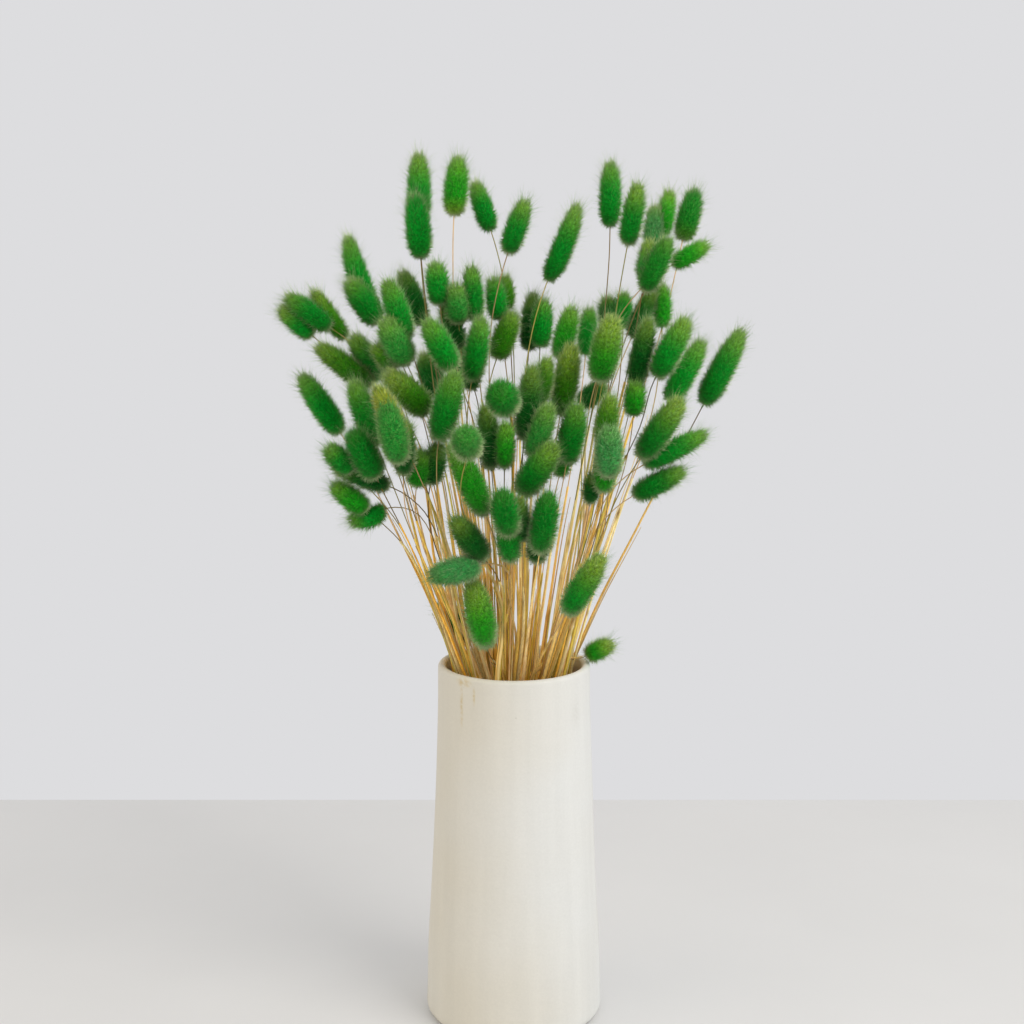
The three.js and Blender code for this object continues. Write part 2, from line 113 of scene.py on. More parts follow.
@dataclass(frozen=True)
class Head:
    """One seed head, read in mm on the upright plane through the vase's axis.

    Attributes:
        foot: Where the head meets its stem, across and up.
        tip: Its upper end, across and up.
        depth: How far the foot stands behind the plane.
        lean: How much further back the tip stands.
        girth: The head's full width.
        shade: Its dye.
        bow: How far its middle bows to the right.
        ripe: How far its tip has yellowed, from 0 to 1.
        ripe_foot: How far its foot has yellowed, from 0 to 1.
    """

    foot: tuple[float, float]
    tip: tuple[float, float]
    depth: float
    lean: float
    girth: float
    shade: Shade
    bow: float = 0.0
    ripe: float = 0.5
    ripe_foot: float = 0.0


DEEP, SHADED, EMERALD, LEAF, SAGE, FROSTED, OLIVE, YELLOWED = Shade

# The heads from the top of the bunch down. A row of several is one clump, grown into each other.
CLUMPS: list[list[Head]] = [
    [
        Head((-57.6, 507), (-57.8, 551), 34, 4, 14.2, EMERALD, ripe=0.65),
        Head((-56.7, 486), (-60.6, 527), 24, 2, 15, EMERALD, ripe=0.0),
    ],
    [Head((-36.6, 512), (-33.6, 549), -5, -2, 14.2, LEAF, ripe_foot=0.7)],
    [Head((-14, 503), (-24.6, 534), 52, 8, 12.2, EMERALD, ripe=0.6)],
    [Head((-4.2, 489), (7.4, 523), -12, -4, 13.2, EMERALD, ripe=0.55)],
    [Head((20, 472), (39, 521), 4, 2, 13, EMERALD, bow=1.4, ripe=0.6)],
    [Head((58.4, 505), (58.4, 546), 22, 4, 13.2, EMERALD)],
    [Head((69, 494), (75.6, 533), -20, -5, 13, EMERALD, ripe=0.65)],
    [
        Head((84, 494), (86.2, 519.5), 58, 8, 11.8, FROSTED),
        Head((90.6, 500), (94.6, 529), 62, 8, 10.8, LEAF, ripe=0.65),
    ],
    [
        Head((79.4, 466), (95, 500.5), -32, -6, 14.2, SHADED, ripe=0.3),
        Head((79.6, 473), (83.6, 499), -14, -4, 12.4, SAGE, ripe=0.8),
    ],
    [Head((102.6, 497), (110.4, 529.5), 28, 5, 13.8, SHADED, ripe=0.0, ripe_foot=0.25)],
    [Head((96, 482.6), (119.4, 496), -8, -4, 11.4, LEAF)],
    [
        Head((72, 438), (86, 469), 14, 3, 12.4, DEEP),
        Head((91, 444), (90.6, 472.5), 20, 4, 11.4, LEAF),
    ],
    [
        Head((67, 444), (67, 467), 58, 8, 11.5, EMERALD),
        Head((58.6, 443), (57, 464.5), 61, 8, 12.6, DEEP),
    ],
    [Head((44, 427), (46.6, 458), 42, 8, 11.8, EMERALD)],
    [Head((52.4, 411), (61, 452.6), -62, -12, 18, LEAF, ripe=0.85)],
    [
        Head((28.4, 389.5), (36, 436), -46, -9, 15.4, OLIVE, ripe=0.85),
        Head((27.6, 425), (36.2, 458.5), -36, -6, 13.4, LEAF),
    ],
    [
        Head((16, 432), (18, 463.5), 8, 2, 13.4, EMERALD),
        Head((9, 430), (12, 467), 18, 4, 12.8, DEEP),
    ],
    [Head((87.2, 413.5), (107, 451.5), -36, -7, 15.8, EMERALD, ripe=0.65)],
    [Head((95.4, 398), (117, 438), 10, 2, 14.2, EMERALD, ripe=0.55)],
    [Head((116.8, 396.2), (141.2, 444.6), 18, 4, 15.2, EMERALD, ripe=0.55)],
    [
        Head((74.4, 407.5), (83.4, 452), -30, -6, 13.4, DEEP),
        Head((74, 390), (75.6, 412.5), -38, -6, 13, LEAF),
    ],
    [
        Head((78.2, 363), (104.6, 402), -62, -14, 16.2, EMERALD, ripe=0.75),
        Head((80, 359), (121, 380), -46, -8, 13.2, EMERALD),
    ],
    [Head((74, 339.6), (107.4, 357), -46, -10, 13.8, EMERALD)],
    [
        Head((59, 352), (59.4, 384), -86, -16, 17, FROSTED, ripe=0.2),
        Head((55.2, 371), (60, 404), -74, -10, 13.8, OLIVE),
        Head((56, 342), (57, 371), -75, -12, 14, LEAF),
        Head((47.4, 335), (49.6, 355.5), -68, -8, 10.8, DEEP),
    ],
    [
        Head((32.6, 360), (39.6, 398.5), -52, -12, 16.4, EMERALD),
        Head((28, 352), (33, 374), -43, -8, 11.6, LEAF),
    ],
    [Head((41, 397), (57, 411), 82, 12, 13, DEEP)],
    [
        Head((4, 341), (26, 373), -78, -18, 17.6, EMERALD, ripe=0.65),
        Head((11, 364), (22, 398), -64, -14, 15, SAGE),
        Head((6.4, 374), (12, 422.5), -52, -10, 15.4, DEEP),
        Head((15, 396), (21, 427), -40, -8, 12.6, OLIVE),
    ],
    [Head((-5, 396), (-9, 406.5), -82, -30, 19.5, EMERALD, ripe=0.1)],
    [
        Head((-6, 357), (-5.2, 387), -57, -12, 12.4, LEAF),
        Head((-14, 356), (-17.6, 398.5), -54, -10, 13.8, DEEP),
    ],
    [Head((-28.8, 368.2), (-30.2, 379.3), -104, -34, 18, SAGE, ripe=0.1)],
    [Head((-17.4, 327), (-39, 375), -74, -14, 16.4, LEAF)],
    [
        Head((15.8, 303), (21.8, 342.5), -72, -18, 16.6, EMERALD, ripe=0.1),
        Head((14, 297), (17, 328), -60, -14, 14, DEEP),
    ],
    [
        Head((-3, 315), (-8, 343.5), -84, -18, 16.8, EMERALD, ripe=0.1),
        Head((5, 311), (2, 339.5), -74, -14, 13.2, DEEP),
        Head((-2, 298), (-5, 327), -72, -14, 14.6, EMERALD),
    ],
    [
        Head((-18, 299), (-38, 326.5), -64, -14, 16, DEEP),
        Head((-21, 296), (-54, 288), -74, -12, 16.6, FROSTED, ripe=0.1),
    ],
    [Head((-17, 242), (-26.6, 287), -60, -18, 17.4, LEAF, ripe=0.8)],
    [Head((32.6, 263.4), (56, 303), -82, -14, 16, EMERALD, ripe=0.85)],
    [Head((45.4, 236.6), (63.2, 245.4), -20, -4, 12.4, LEAF, ripe=0.85, ripe_foot=0.3)],
    [
        Head((-66, 422), (-80, 451), -50, -10, 18, SAGE),
        Head((-65.6, 437), (-78.4, 475), -38, -6, 14.8, EMERALD),
        Head((-73.6, 419), (-86, 435), -41, -6, 12.6, OLIVE),
    ],
    [Head((-56, 446), (-69, 480), 36, 8, 14, DEEP)],
    [
        Head((-83, 447), (-102, 475), 4, 0, 16, EMERALD),
        Head((-85.4, 454), (-101.6, 502), 15, 4, 13.2, EMERALD, bow=-2.6),
    ],
    [
        Head((-112, 444), (-141, 465), -14, -2, 13.8, EMERALD),
        Head((-123.4, 439.2), (-144.6, 457.8), -6, -4, 12.8, EMERALD, ripe=0.75),
        Head((-103, 437), (-124, 469), -5, 0, 11.2, OLIVE, bow=-0.8, ripe=0.65),
    ],
    [
        Head((-34, 447), (-36, 472), -20, -5, 14.8, SAGE),
        Head((-45.4, 458), (-48.4, 485.5), -12, -2, 14, EMERALD),
        Head((-24, 448), (-26.4, 483.5), -14, -2, 12.6, EMERALD),
        Head((-33, 431), (-43.6, 461), -3, 2, 13, DEEP),
    ],
    [
        Head((-9, 449), (-13, 476), 8, 2, 12.8, EMERALD),
        Head((-4, 455), (-6, 478), 15, 3, 10.4, OLIVE),
        Head((-11, 425), (0, 455.5), 4, 0, 14.6, OLIVE),
    ],
    [
        Head((-26.4, 411), (-19.6, 452), -28, -4, 14.4, EMERALD),
        Head((-27.4, 405.6), (-23.6, 430), -17, 0, 11.4, DEEP),
    ],
    [Head((-37.2, 417.6), (-54.2, 450.4), -50, -10, 15.8, EMERALD)],
    [Head((-47, 402), (-56, 430), 66, 12, 15.4, DEEP)],
    [Head((-30, 411), (-35, 436), 86, 14, 13.4, DEEP)],
    [
        Head((-87, 408.6), (-122.8, 434.6), -28, -6, 14.2, OLIVE),
        Head((-82, 412), (-100.2, 441), -17, -2, 14.6, SHADED, ripe=0.6),
    ],
    [Head((-107.4, 378.6), (-132.6, 416.8), 6, 2, 14.8, EMERALD)],
    [Head((-85, 371), (-100, 413), -38, -8, 15.6, EMERALD)],
    [
        Head((-71, 360), (-80, 400), -76, -16, 17.8, SAGE, ripe=0.05),
        Head((-70, 376), (-86, 410), -62, -10, 14, YELLOWED, ripe=0.9),
        Head((-69, 352), (-67, 388), -62, -10, 13.2, DEEP),
    ],
    [Head((-52, 392), (-80, 418), -40, -6, 17.6, OLIVE, ripe=0.8)],
    [Head((-47, 374), (-36.4, 418.6), -58, -12, 17.2, EMERALD)],
    [
        Head((-86, 351), (-101, 382), -62, -12, 18, EMERALD, ripe=0.1),
        Head((-101, 355), (-117, 371.4), -52, -8, 14.2, EMERALD),
        Head((-77, 345.5), (-114, 358.6), -52, -8, 12.8, DEEP),
    ],
    [
        Head((-92, 330), (-114, 348), -50, -8, 14.4, LEAF),
        Head((-80, 332), (-105, 325), -42, -6, 12.8, EMERALD, bow=-3),
    ],
    [
        Head((-61, 346), (-57, 369), -60, -8, 15, LEAF),
        Head((-52.4, 347), (-46.4, 374), -52, -8, 13.8, DEEP),
    ],
    [Head((-27, 246), (-48, 273), 4, 4, 14, DEEP)],
]


# How the bunch settles, in mm


def dot(first: np.ndarray, second: np.ndarray) -> np.ndarray:
    """Gives the dot product of each pair of rows."""
    return (first * second).sum(-1)


def length_of(rows: np.ndarray) -> np.ndarray:
    """Gives the length of each row."""
    return np.sqrt(dot(rows, rows))


def unit(rows: np.ndarray) -> np.ndarray:
    """Gives each row at a length of 1."""
    return rows / np.maximum(length_of(rows), PARALLEL)[..., None]


def crossed(first: np.ndarray, second: np.ndarray) -> list[np.ndarray]:
    """Pairs every entry of one list with every entry of another."""
    return [grid.ravel() for grid in np.meshgrid(first, second, indexing="ij")]


@dataclass
class Meeting:
    """Where straight pieces come nearest to each other.

    Attributes:
        s: Shares along the first pieces.
        t: Shares along the second pieces.
        way: The ways from the first to the second.
        gap: The lengths of those ways.
    """

    s: np.ndarray
    t: np.ndarray
    way: np.ndarray
    gap: np.ndarray


def nearest(a: np.ndarray, b: np.ndarray, c: np.ndarray, d: np.ndarray) -> Meeting:
    """Finds the nearest points of straight pieces, row by row.

    Args:
        a: Starts of the first pieces.
        b: Ends of the first pieces.
        c: Starts of the second pieces.
        d: Ends of the second pieces.

    Returns:
        Where they meet.
    """
    u, v, w = b - a, d - c, a - c
    uu, uv, vv = dot(u, u), dot(u, v), dot(v, v)
    spread = uu * vv - uv * uv
    crossing = (uv * dot(v, w) - vv * dot(u, w)) / np.maximum(spread, PARALLEL)
    s = np.where(spread > PARALLEL, np.clip(crossing, 0, 1), 0.0)
    t = np.clip((uv * s + dot(v, w)) / vv, 0, 1)
    s = np.clip((uv * t - dot(u, w)) / uu, 0, 1)
    way = c + v * t[..., None] - a - u * s[..., None]
    return Meeting(s, t, way, length_of(way))


@dataclass
class Settled:
    """The heads where they stand, in mm, one row each.

    Attributes:
        heads: The heads as read.
        clump: Which clump each belongs to.
        foot: Where each meets its stem.
        tip: Its upper end.
        radius: Half its full width.
    """

    heads: list[Head]
    clump: np.ndarray
    foot: np.ndarray
    tip: np.ndarray
    radius: np.ndarray

    @property
    def axis(self) -> np.ndarray:
        """The directions from foot to tip."""
        return unit(self.tip - self.foot)

    @property
    def length(self) -> np.ndarray:
        """The lengths from foot to tip."""
        return length_of(self.tip - self.foot)

    def spines(self) -> tuple[np.ndarray, np.ndarray]:
        """The stretches of the axes that keep their full girth away from both ends."""
        inset = np.minimum(self.radius, self.length * Arrangement.SPINE_INSET_LIMIT)[:, None]
        return self.foot + self.axis * inset, self.tip - self.axis * inset


@dataclass
class Stalks:
    """The stems of the heads, in the same order.

    Attributes:
        points: Each stem's points in mm, from the vase's floor to its neck.
        side: -1 for a stem on the left of the bunch and 1 for one on the right.
    """

    points: np.ndarray
    side: np.ndarray


@dataclass
class Arrangement:
    """The rule that the heads and stems settle by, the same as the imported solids' own.

    Attributes:
        SPINE_INSET_LIMIT: The most of a head's length that its spine leaves free at either end.
        viewer: Where the viewer stands.
        vase_height: The vase's full height.
        vase_floor: The height of the vase's floor inside.
        clearance: The gap kept between heads of different clumps and round stems.
        grown_share: How near mates stand, as a share of their two radii together.
        order_gap: How far the nearer of two mates stands in front.
        bunch_lead: How far the whole bunch is set back.
        neck_gap: The gap between a stem and its head.
        neck_step: How far a neck is lowered at a time.
        neck_radius: A stem's radius at its neck.
        foot_radius: A stem's radius at its foot.
        stem_spacing: How far apart the stems keep.
        floor_spacing: How far apart their feet keep.
        floor_gap: The gap under their feet.
        air_points: Shares of a stem's curve above the mouth where it may bend.
        curve_share: How far that curve's handles reach, as a share of its span.
        stem_lean: How far a stem has turned to its head by the mouth.
        mouth_share: How far in towards the axis a stem passes the mouth, as a share of its head's place.
        mouth_reach: The radius that the stems fill at the mouth.
        mouth_drop: How far below the rim that is measured.
        mat_radius: The radius that one side's feet fill on the floor.
        mat_offset: How far beside the axis they stand.
        mat_margin: The room left round them.
        mat_spread: How far they draw together on the way down.
        head_rounds: How often the heads are moved.
        spread_rounds: How often points of a patch are spread.
        stem_rounds: How often the stems are bent.
        ease: How much of each overlap one round takes away.
    """

    SPINE_INSET_LIMIT = 0.4

    viewer: np.ndarray = field(default_factory=lambda: np.array((-1.3, -1050.0, 509.9)))
    vase_height: float = 233.0
    vase_floor: float = 8.0
    clearance: float = 0.8
    grown_share: float = 0.74
    order_gap: float = 3.0
    bunch_lead: float = 20.0
    neck_gap: float = 0.3
    neck_step: float = 1.0
    neck_radius: float = 0.75
    foot_radius: float = 1.15
    stem_spacing: float = 3.2
    floor_spacing: float = 2.5
    floor_gap: float = 0.3
    air_points: tuple[float, ...] = (0.3, 0.6, 0.84)
    curve_share: float = 1 / 3
    stem_lean: float = 0.8
    mouth_share: float = 0.38
    mouth_reach: float = 39.0
    mouth_drop: float = 3.0
    mat_radius: float = 12.5
    mat_offset: float = 15.0
    mat_margin: float = 0.5
    mat_spread: float = 1.2
    head_rounds: int = 200
    spread_rounds: int = 300
    stem_rounds: int = 120
    ease: float = 0.3

    def sighted(self, seen: np.ndarray, depth: np.ndarray) -> np.ndarray:
        """Moves points that the viewer sees on the upright plane back to a depth.

        Args:
            seen: Across and up, one row each.
            depth: How far behind the plane each point stands.

        Returns:
            The points.
        """
        flat = np.stack([seen[:, 0], np.zeros(len(seen)), seen[:, 1]], 1)
        return (flat - self.viewer) * (1 - depth / self.viewer[1])[:, None] + self.viewer

    def settle_heads(self) -> Settled:
        """Slides the heads along the lines of sight until clumps are clear and mates are grown together.

        Returns:
            The settled heads.
        """
        heads = [head for clump in CLUMPS for head in clump]
        clump = np.array([index for index, rows in enumerate(CLUMPS) for _ in rows])
        foot = np.array([head.foot for head in heads], float)
        tip = np.array([head.tip for head in heads], float)
        depth = np.array([head.depth for head in heads], float)
        lean = np.array([head.lean for head in heads], float)
        girth = np.array([head.girth for head in heads], float)
        first, second = np.triu_indices(len(heads), 1)
        mates = clump[first] == clump[second]
        shifts = np.zeros(len(heads))

        def place() -> Settled:
            """Gives the heads at their present shifts.

            Returns:
                The heads.
            """
            stands = depth + self.bunch_lead + shifts
            radius = girth / 2 * (1 - stands / self.viewer[1])
            feet, tips = self.sighted(foot, stands), self.sighted(tip, stands + lean)
            return Settled(heads, clump, feet, tips, radius)

        for _ in range(self.head_rounds):
            now = place()
            lower, upper = now.spines()
            met = nearest(lower[first], upper[first], lower[second], upper[second])
            reach = now.radius[first] + now.radius[second]
            pushes = np.zeros(len(heads))
            short = reach + self.clearance - met.gap
            away = np.where(met.way[:, 1] < 0, -1.0, 1.0) * short * self.ease
            away = np.where(~mates & (short > 0), away, 0.0)
            np.add.at(pushes, second, away)
            np.add.at(pushes, first, -away)
            for index in range(len(heads)):
                pairs = np.flatnonzero(mates & (second == index))
                if len(pairs):
                    pair = pairs[np.argmin(met.gap[pairs])]
                    mate = first[pair]
                    order = np.sign(depth[index] - depth[mate]) or 1.0
                    excess = met.way[pair, 1] - order * self.order_gap
                    if met.gap[pair] > reach[pair] * self.grown_share or excess * order < 0:
                        pushes[index] -= excess * self.ease
                        pushes[mate] += excess * self.ease
            shifts = shifts + pushes
        return place()

    def spread_out(self, points: np.ndarray, spacing: float, centre: np.ndarray, reach: float) -> np.ndarray:
        """Spreads points in a flat round patch until each keeps its distance.

        Args:
            points: The points, two values each.
            spacing: The distance to keep.
            centre: The patch's middle.
            reach: The patch's radius.

        Returns:
            The spread points.
        """
        points = points.copy()
        first, second = np.triu_indices(len(points), 1)
        for _ in range(self.spread_rounds):
            way = points[second] - points[first]
            gap = length_of(way)
            push = unit(way) * (np.maximum(spacing - gap, 0) * self.ease)[:, None]
            pushes = np.zeros_like(points)
            np.add.at(pushes, second, push)
            np.add.at(pushes, first, -push)
            offset = points + pushes - centre
            far = np.maximum(length_of(offset) / reach, 1)[:, None]
            points = offset / far + centre
        return points

    def find_neck(self, settled: Settled, index: int) -> np.ndarray:
        """Finds where a stem ends: under its head's foot, or lower where that is within another head.

        Args:
            settled: The heads.
            index: Whose stem it is.

        Returns:
            The neck's place.
        """
        lower, upper = settled.spines()
        others = np.arange(len(settled.radius)) != index
        axis = settled.axis[index]
        margin = settled.radius[others] + self.neck_radius + self.neck_gap
        neck = settled.foot[index] - axis * self.neck_gap
        below = neck - axis * self.neck_gap
        while (nearest(below[None], neck[None], lower[others], upper[others]).gap < margin).any():
            neck = neck - axis * self.neck_step
            below = below - axis * self.neck_step
        return neck

    def grow_stems(self, settled: Settled) -> Stalks:
        """Grows a stem from the vase's floor through its mouth to each head and bends them all clear.

        Args:
            settled: The heads.

        Returns:
            The stalks.
        """
        mouths = self.spread_out(
            settled.foot[:, :2] * self.mouth_share, self.stem_spacing, np.zeros(2), self.mouth_reach
        )
        side = np.where(mouths[:, 0] >= 0, 1, -1)
        floors = np.zeros_like(mouths)
        for way in (-1, 1):
            members = side == way
            centre = np.array((way * self.mat_offset, 0.0))
            share = self.mat_radius / self.mouth_reach / self.mat_spread
            starts = (mouths[members] - np.array((way * self.mouth_reach / 2, 0.0))) * share + centre
            reach = self.mat_radius - self.foot_radius - self.mat_margin
            floors[members] = self.spread_out(starts, self.floor_spacing, centre, reach)
        stems = []
        for index, (mouth, floor) in enumerate(zip(mouths, floors)):
            neck = self.find_neck(settled, index)
            gate = np.array((*mouth, self.vase_height - self.mouth_drop))
            root = np.array((*floor, self.vase_floor + self.floor_gap))
            reach = length_of(neck - gate) * self.curve_share
            rise = unit(gate - root)
            rise = unit(rise + (unit(neck - gate) - rise) * self.stem_lean)
            handles = gate, gate + rise * reach, neck - settled.axis[index] * reach, neck
            air = [bezier(handles, share) for share in self.air_points]
            stems.append([root, gate, *air, neck])
        return Stalks(self.bend_clear(np.array(stems), settled), side)

    def bend_clear(self, points: np.ndarray, settled: Settled) -> np.ndarray:
        """Bends the stems clear of every head and of each other, with both ends held.

        Args:
            points: The stems' points, stem by stem.
            settled: The heads.

        Returns:
            The bent points.
        """
        count, last = points.shape[0], points.shape[1] - 1
        owner, span = crossed(np.arange(count), np.arange(1, last))
        lower, upper = settled.spines()
        piece, head = crossed(np.arange(len(owner)), np.arange(count))
        apart = owner[piece] != head
        piece, head = piece[apart], head[apart]
        near, far = np.triu_indices(len(owner), 1)
        rivals = owner[near] != owner[far]
        near, far = near[rivals], far[rivals]
        clear = settled.radius[head] + self.neck_radius + self.clearance

        for _ in range(self.stem_rounds):
            pushes = np.zeros_like(points)

            def push(which: np.ndarray, share: np.ndarray, move: np.ndarray) -> None:
                """Adds moves that act at shares along straight pieces to the points at their ends."""
                np.add.at(pushes, (owner[which], span[which]), move * (1 - share)[:, None])
                np.add.at(pushes, (owner[which], span[which] + 1), move * share[:, None])

            start, end = points[owner, span], points[owner, span + 1]
            met = nearest(start[piece], end[piece], lower[head], upper[head])
            short = clear - met.gap
            hit = short > 0
            push(piece[hit], met.s[hit], unit(met.way[hit]) * (-short[hit] * self.ease)[:, None])
            met = nearest(start[near], end[near], start[far], end[far])
            short = self.stem_spacing - met.gap
            hit = short > 0
            move = unit(met.way[hit]) * (short[hit] * self.ease)[:, None]
            push(far[hit], met.t[hit], move)
            push(near[hit], met.s[hit], -move)
            points[:, 2:last] += pushes[:, 2:last]
        return points


def bezier(handles: tuple[np.ndarray, ...], share: float) -> np.ndarray:
    """Gives the point at a share along a cubic curve of four handles.

    Args:
        handles: The curve's start, its two handles and its end.
        share: How far along it the point lies, from 0 to 1.

    Returns:
        The point.
    """
    rest = 1 - share
    weights = rest ** 3, 3 * rest ** 2 * share, 3 * rest * share ** 2, share ** 3
    return sum(weight * handle for weight, handle in zip(weights, handles))


def smooth_through(points: np.ndarray, pace: float) -> np.ndarray:
    """Draws a smooth line through points that may stand unevenly far apart.

    Args:
        points: The points to pass through.
        pace: How far apart the line's own points stand at most.

    Returns:
        The points of the line, the given ones among them.
    """
    spans = np.diff(points, axis=0)
    gaps = length_of(spans)
    ways = spans / gaps[:, None]
    inner = unit(ways[:-1] * gaps[1:, None] + ways[1:] * gaps[:-1, None])
    headings = np.vstack([ways[:1], inner, ways[-1:]])
    line = [points[0]]
    for index, gap in enumerate(gaps):
        leave, arrive = headings[index] * gap / 3, headings[index + 1] * gap / 3
        handles = points[index], points[index] + leave, points[index + 1] - arrive, points[index + 1]
        steps = math.ceil(gap / pace)
        line += [bezier(handles, step / steps) for step in range(1, steps + 1)]
    return np.array(line)


def square_to(axis: np.ndarray) -> tuple[np.ndarray, np.ndarray]:
    """Gives two directions square to an axis, the first to the right and the second to the back."""
    right = unit(np.cross(NEARLY_BACK, axis))
    return right, np.cross(axis, right)


def eased(value: np.ndarray, low: float, high: float) -> np.ndarray:
    """Gives a smooth step from 0 below low to 1 above high."""
    share = np.clip((value - low) / (high - low), 0, 1)
    return share * share * (3 - 2 * share)


# Meshes


def new_mesh_object(name: str, vertices: np.ndarray, edges: list, faces: list) -> bpy.types.Object:
    """Makes an object from points in mm, at the origin and unturned.

    Args:
        name: The object's name.
        vertices: Its points.
        edges: Pairs of points, where it has no faces.
        faces: Rings of points.

    Returns:
        The object, linked to the scene.
    """
    mesh = bpy.data.meshes.new(name)
    mesh.from_pydata((vertices * MM).tolist(), edges, faces)
    mesh.update()
    made = bpy.data.objects.new(name, mesh)
    bpy.context.scene.collection.objects.link(made)
    return made


def write_attribute(mesh: bpy.types.Mesh, name: str, values: np.ndarray) -> None:
    """Writes one value for each point: a number, a direction or a colour.

    Args:
        mesh: The mesh.
        name: The attribute's name.
        values: The values, with 1, 3 or 4 columns.
    """
    kind, key = {1: ("FLOAT", "value"), 3: ("FLOAT_VECTOR", "vector"), 4: ("FLOAT_COLOR", "color")}[
        1 if values.ndim == 1 else values.shape[1]
    ]
    mesh.attributes.new(name, kind, "POINT").data.foreach_set(key, values.astype(np.float32).ravel())


def ring_faces(rings: int, sides: int, start: int = 0) -> list[tuple[int, ...]]:
    """Gives the quads between rings of points, facing outwards for rings that climb.

    Args:
        rings: How many rings there are.
        sides: How many points each ring has.
        start: The first ring's first point.

    Returns:
        The quads.
    """
    faces = []
    for ring in range(rings - 1):
        for side in range(sides):
            low = start + ring * sides
            after = (side + 1) % sides
            faces.append((low + side, low + after, low + sides + after, low + sides + side))
    return faces


def cap_faces(sides: int, lowest: int, low_pole: int, highest: int, high_pole: int) -> list[tuple[int, ...]]:
    """Gives the triangles that close the lowest and the highest ring round their poles.

    Args:
        sides: How many points each ring has.
        lowest: The lowest ring's first point.
        low_pole: The point in its middle.
        highest: The highest ring's first point.
        high_pole: The point in its middle.

    Returns:
        The triangles.
    """
    faces = []
    for side in range(sides):
        after = (side + 1) % sides
        faces.append((lowest + after, lowest + side, low_pole))
        faces.append((highest + side, highest + after, high_pole))
    return faces


def grow(base: bpy.types.Object, tree: bpy.types.NodeTree, values: dict[str, Any]) -> None:
    """Runs a growing tree on an object and keeps the result as its plain mesh.

    Args:
        base: The object with the mesh to grow on.
        tree: The geometry nodes.
        values: The tree's inputs by name.
    """
    modifier = base.modifiers.new("growth", "NODES")
    modifier.node_group = tree
    for item in tree.interface.items_tree:
        if item.item_type == "SOCKET" and item.in_out == "INPUT" and item.name in values:
            modifier[item.identifier] = values[item.name]
    seed_mesh = base.data
    evaluated = base.evaluated_get(bpy.context.evaluated_depsgraph_get())
    mesh = bpy.data.meshes.new_from_object(evaluated)
    base.modifiers.remove(modifier)
    base.data = mesh
    bpy.data.meshes.remove(seed_mesh)
    mesh.name = base.name


def hand_over(piece: bpy.types.Object, nodes: list[str], slot: str) -> None:
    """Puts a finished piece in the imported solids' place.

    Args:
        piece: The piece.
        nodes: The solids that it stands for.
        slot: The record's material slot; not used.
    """
    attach(piece, BODY)
    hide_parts(*nodes)
    log.info("%s stands for %s with %d faces", piece.name, ", ".join(nodes), len(piece.data.polygons))


# Nodes


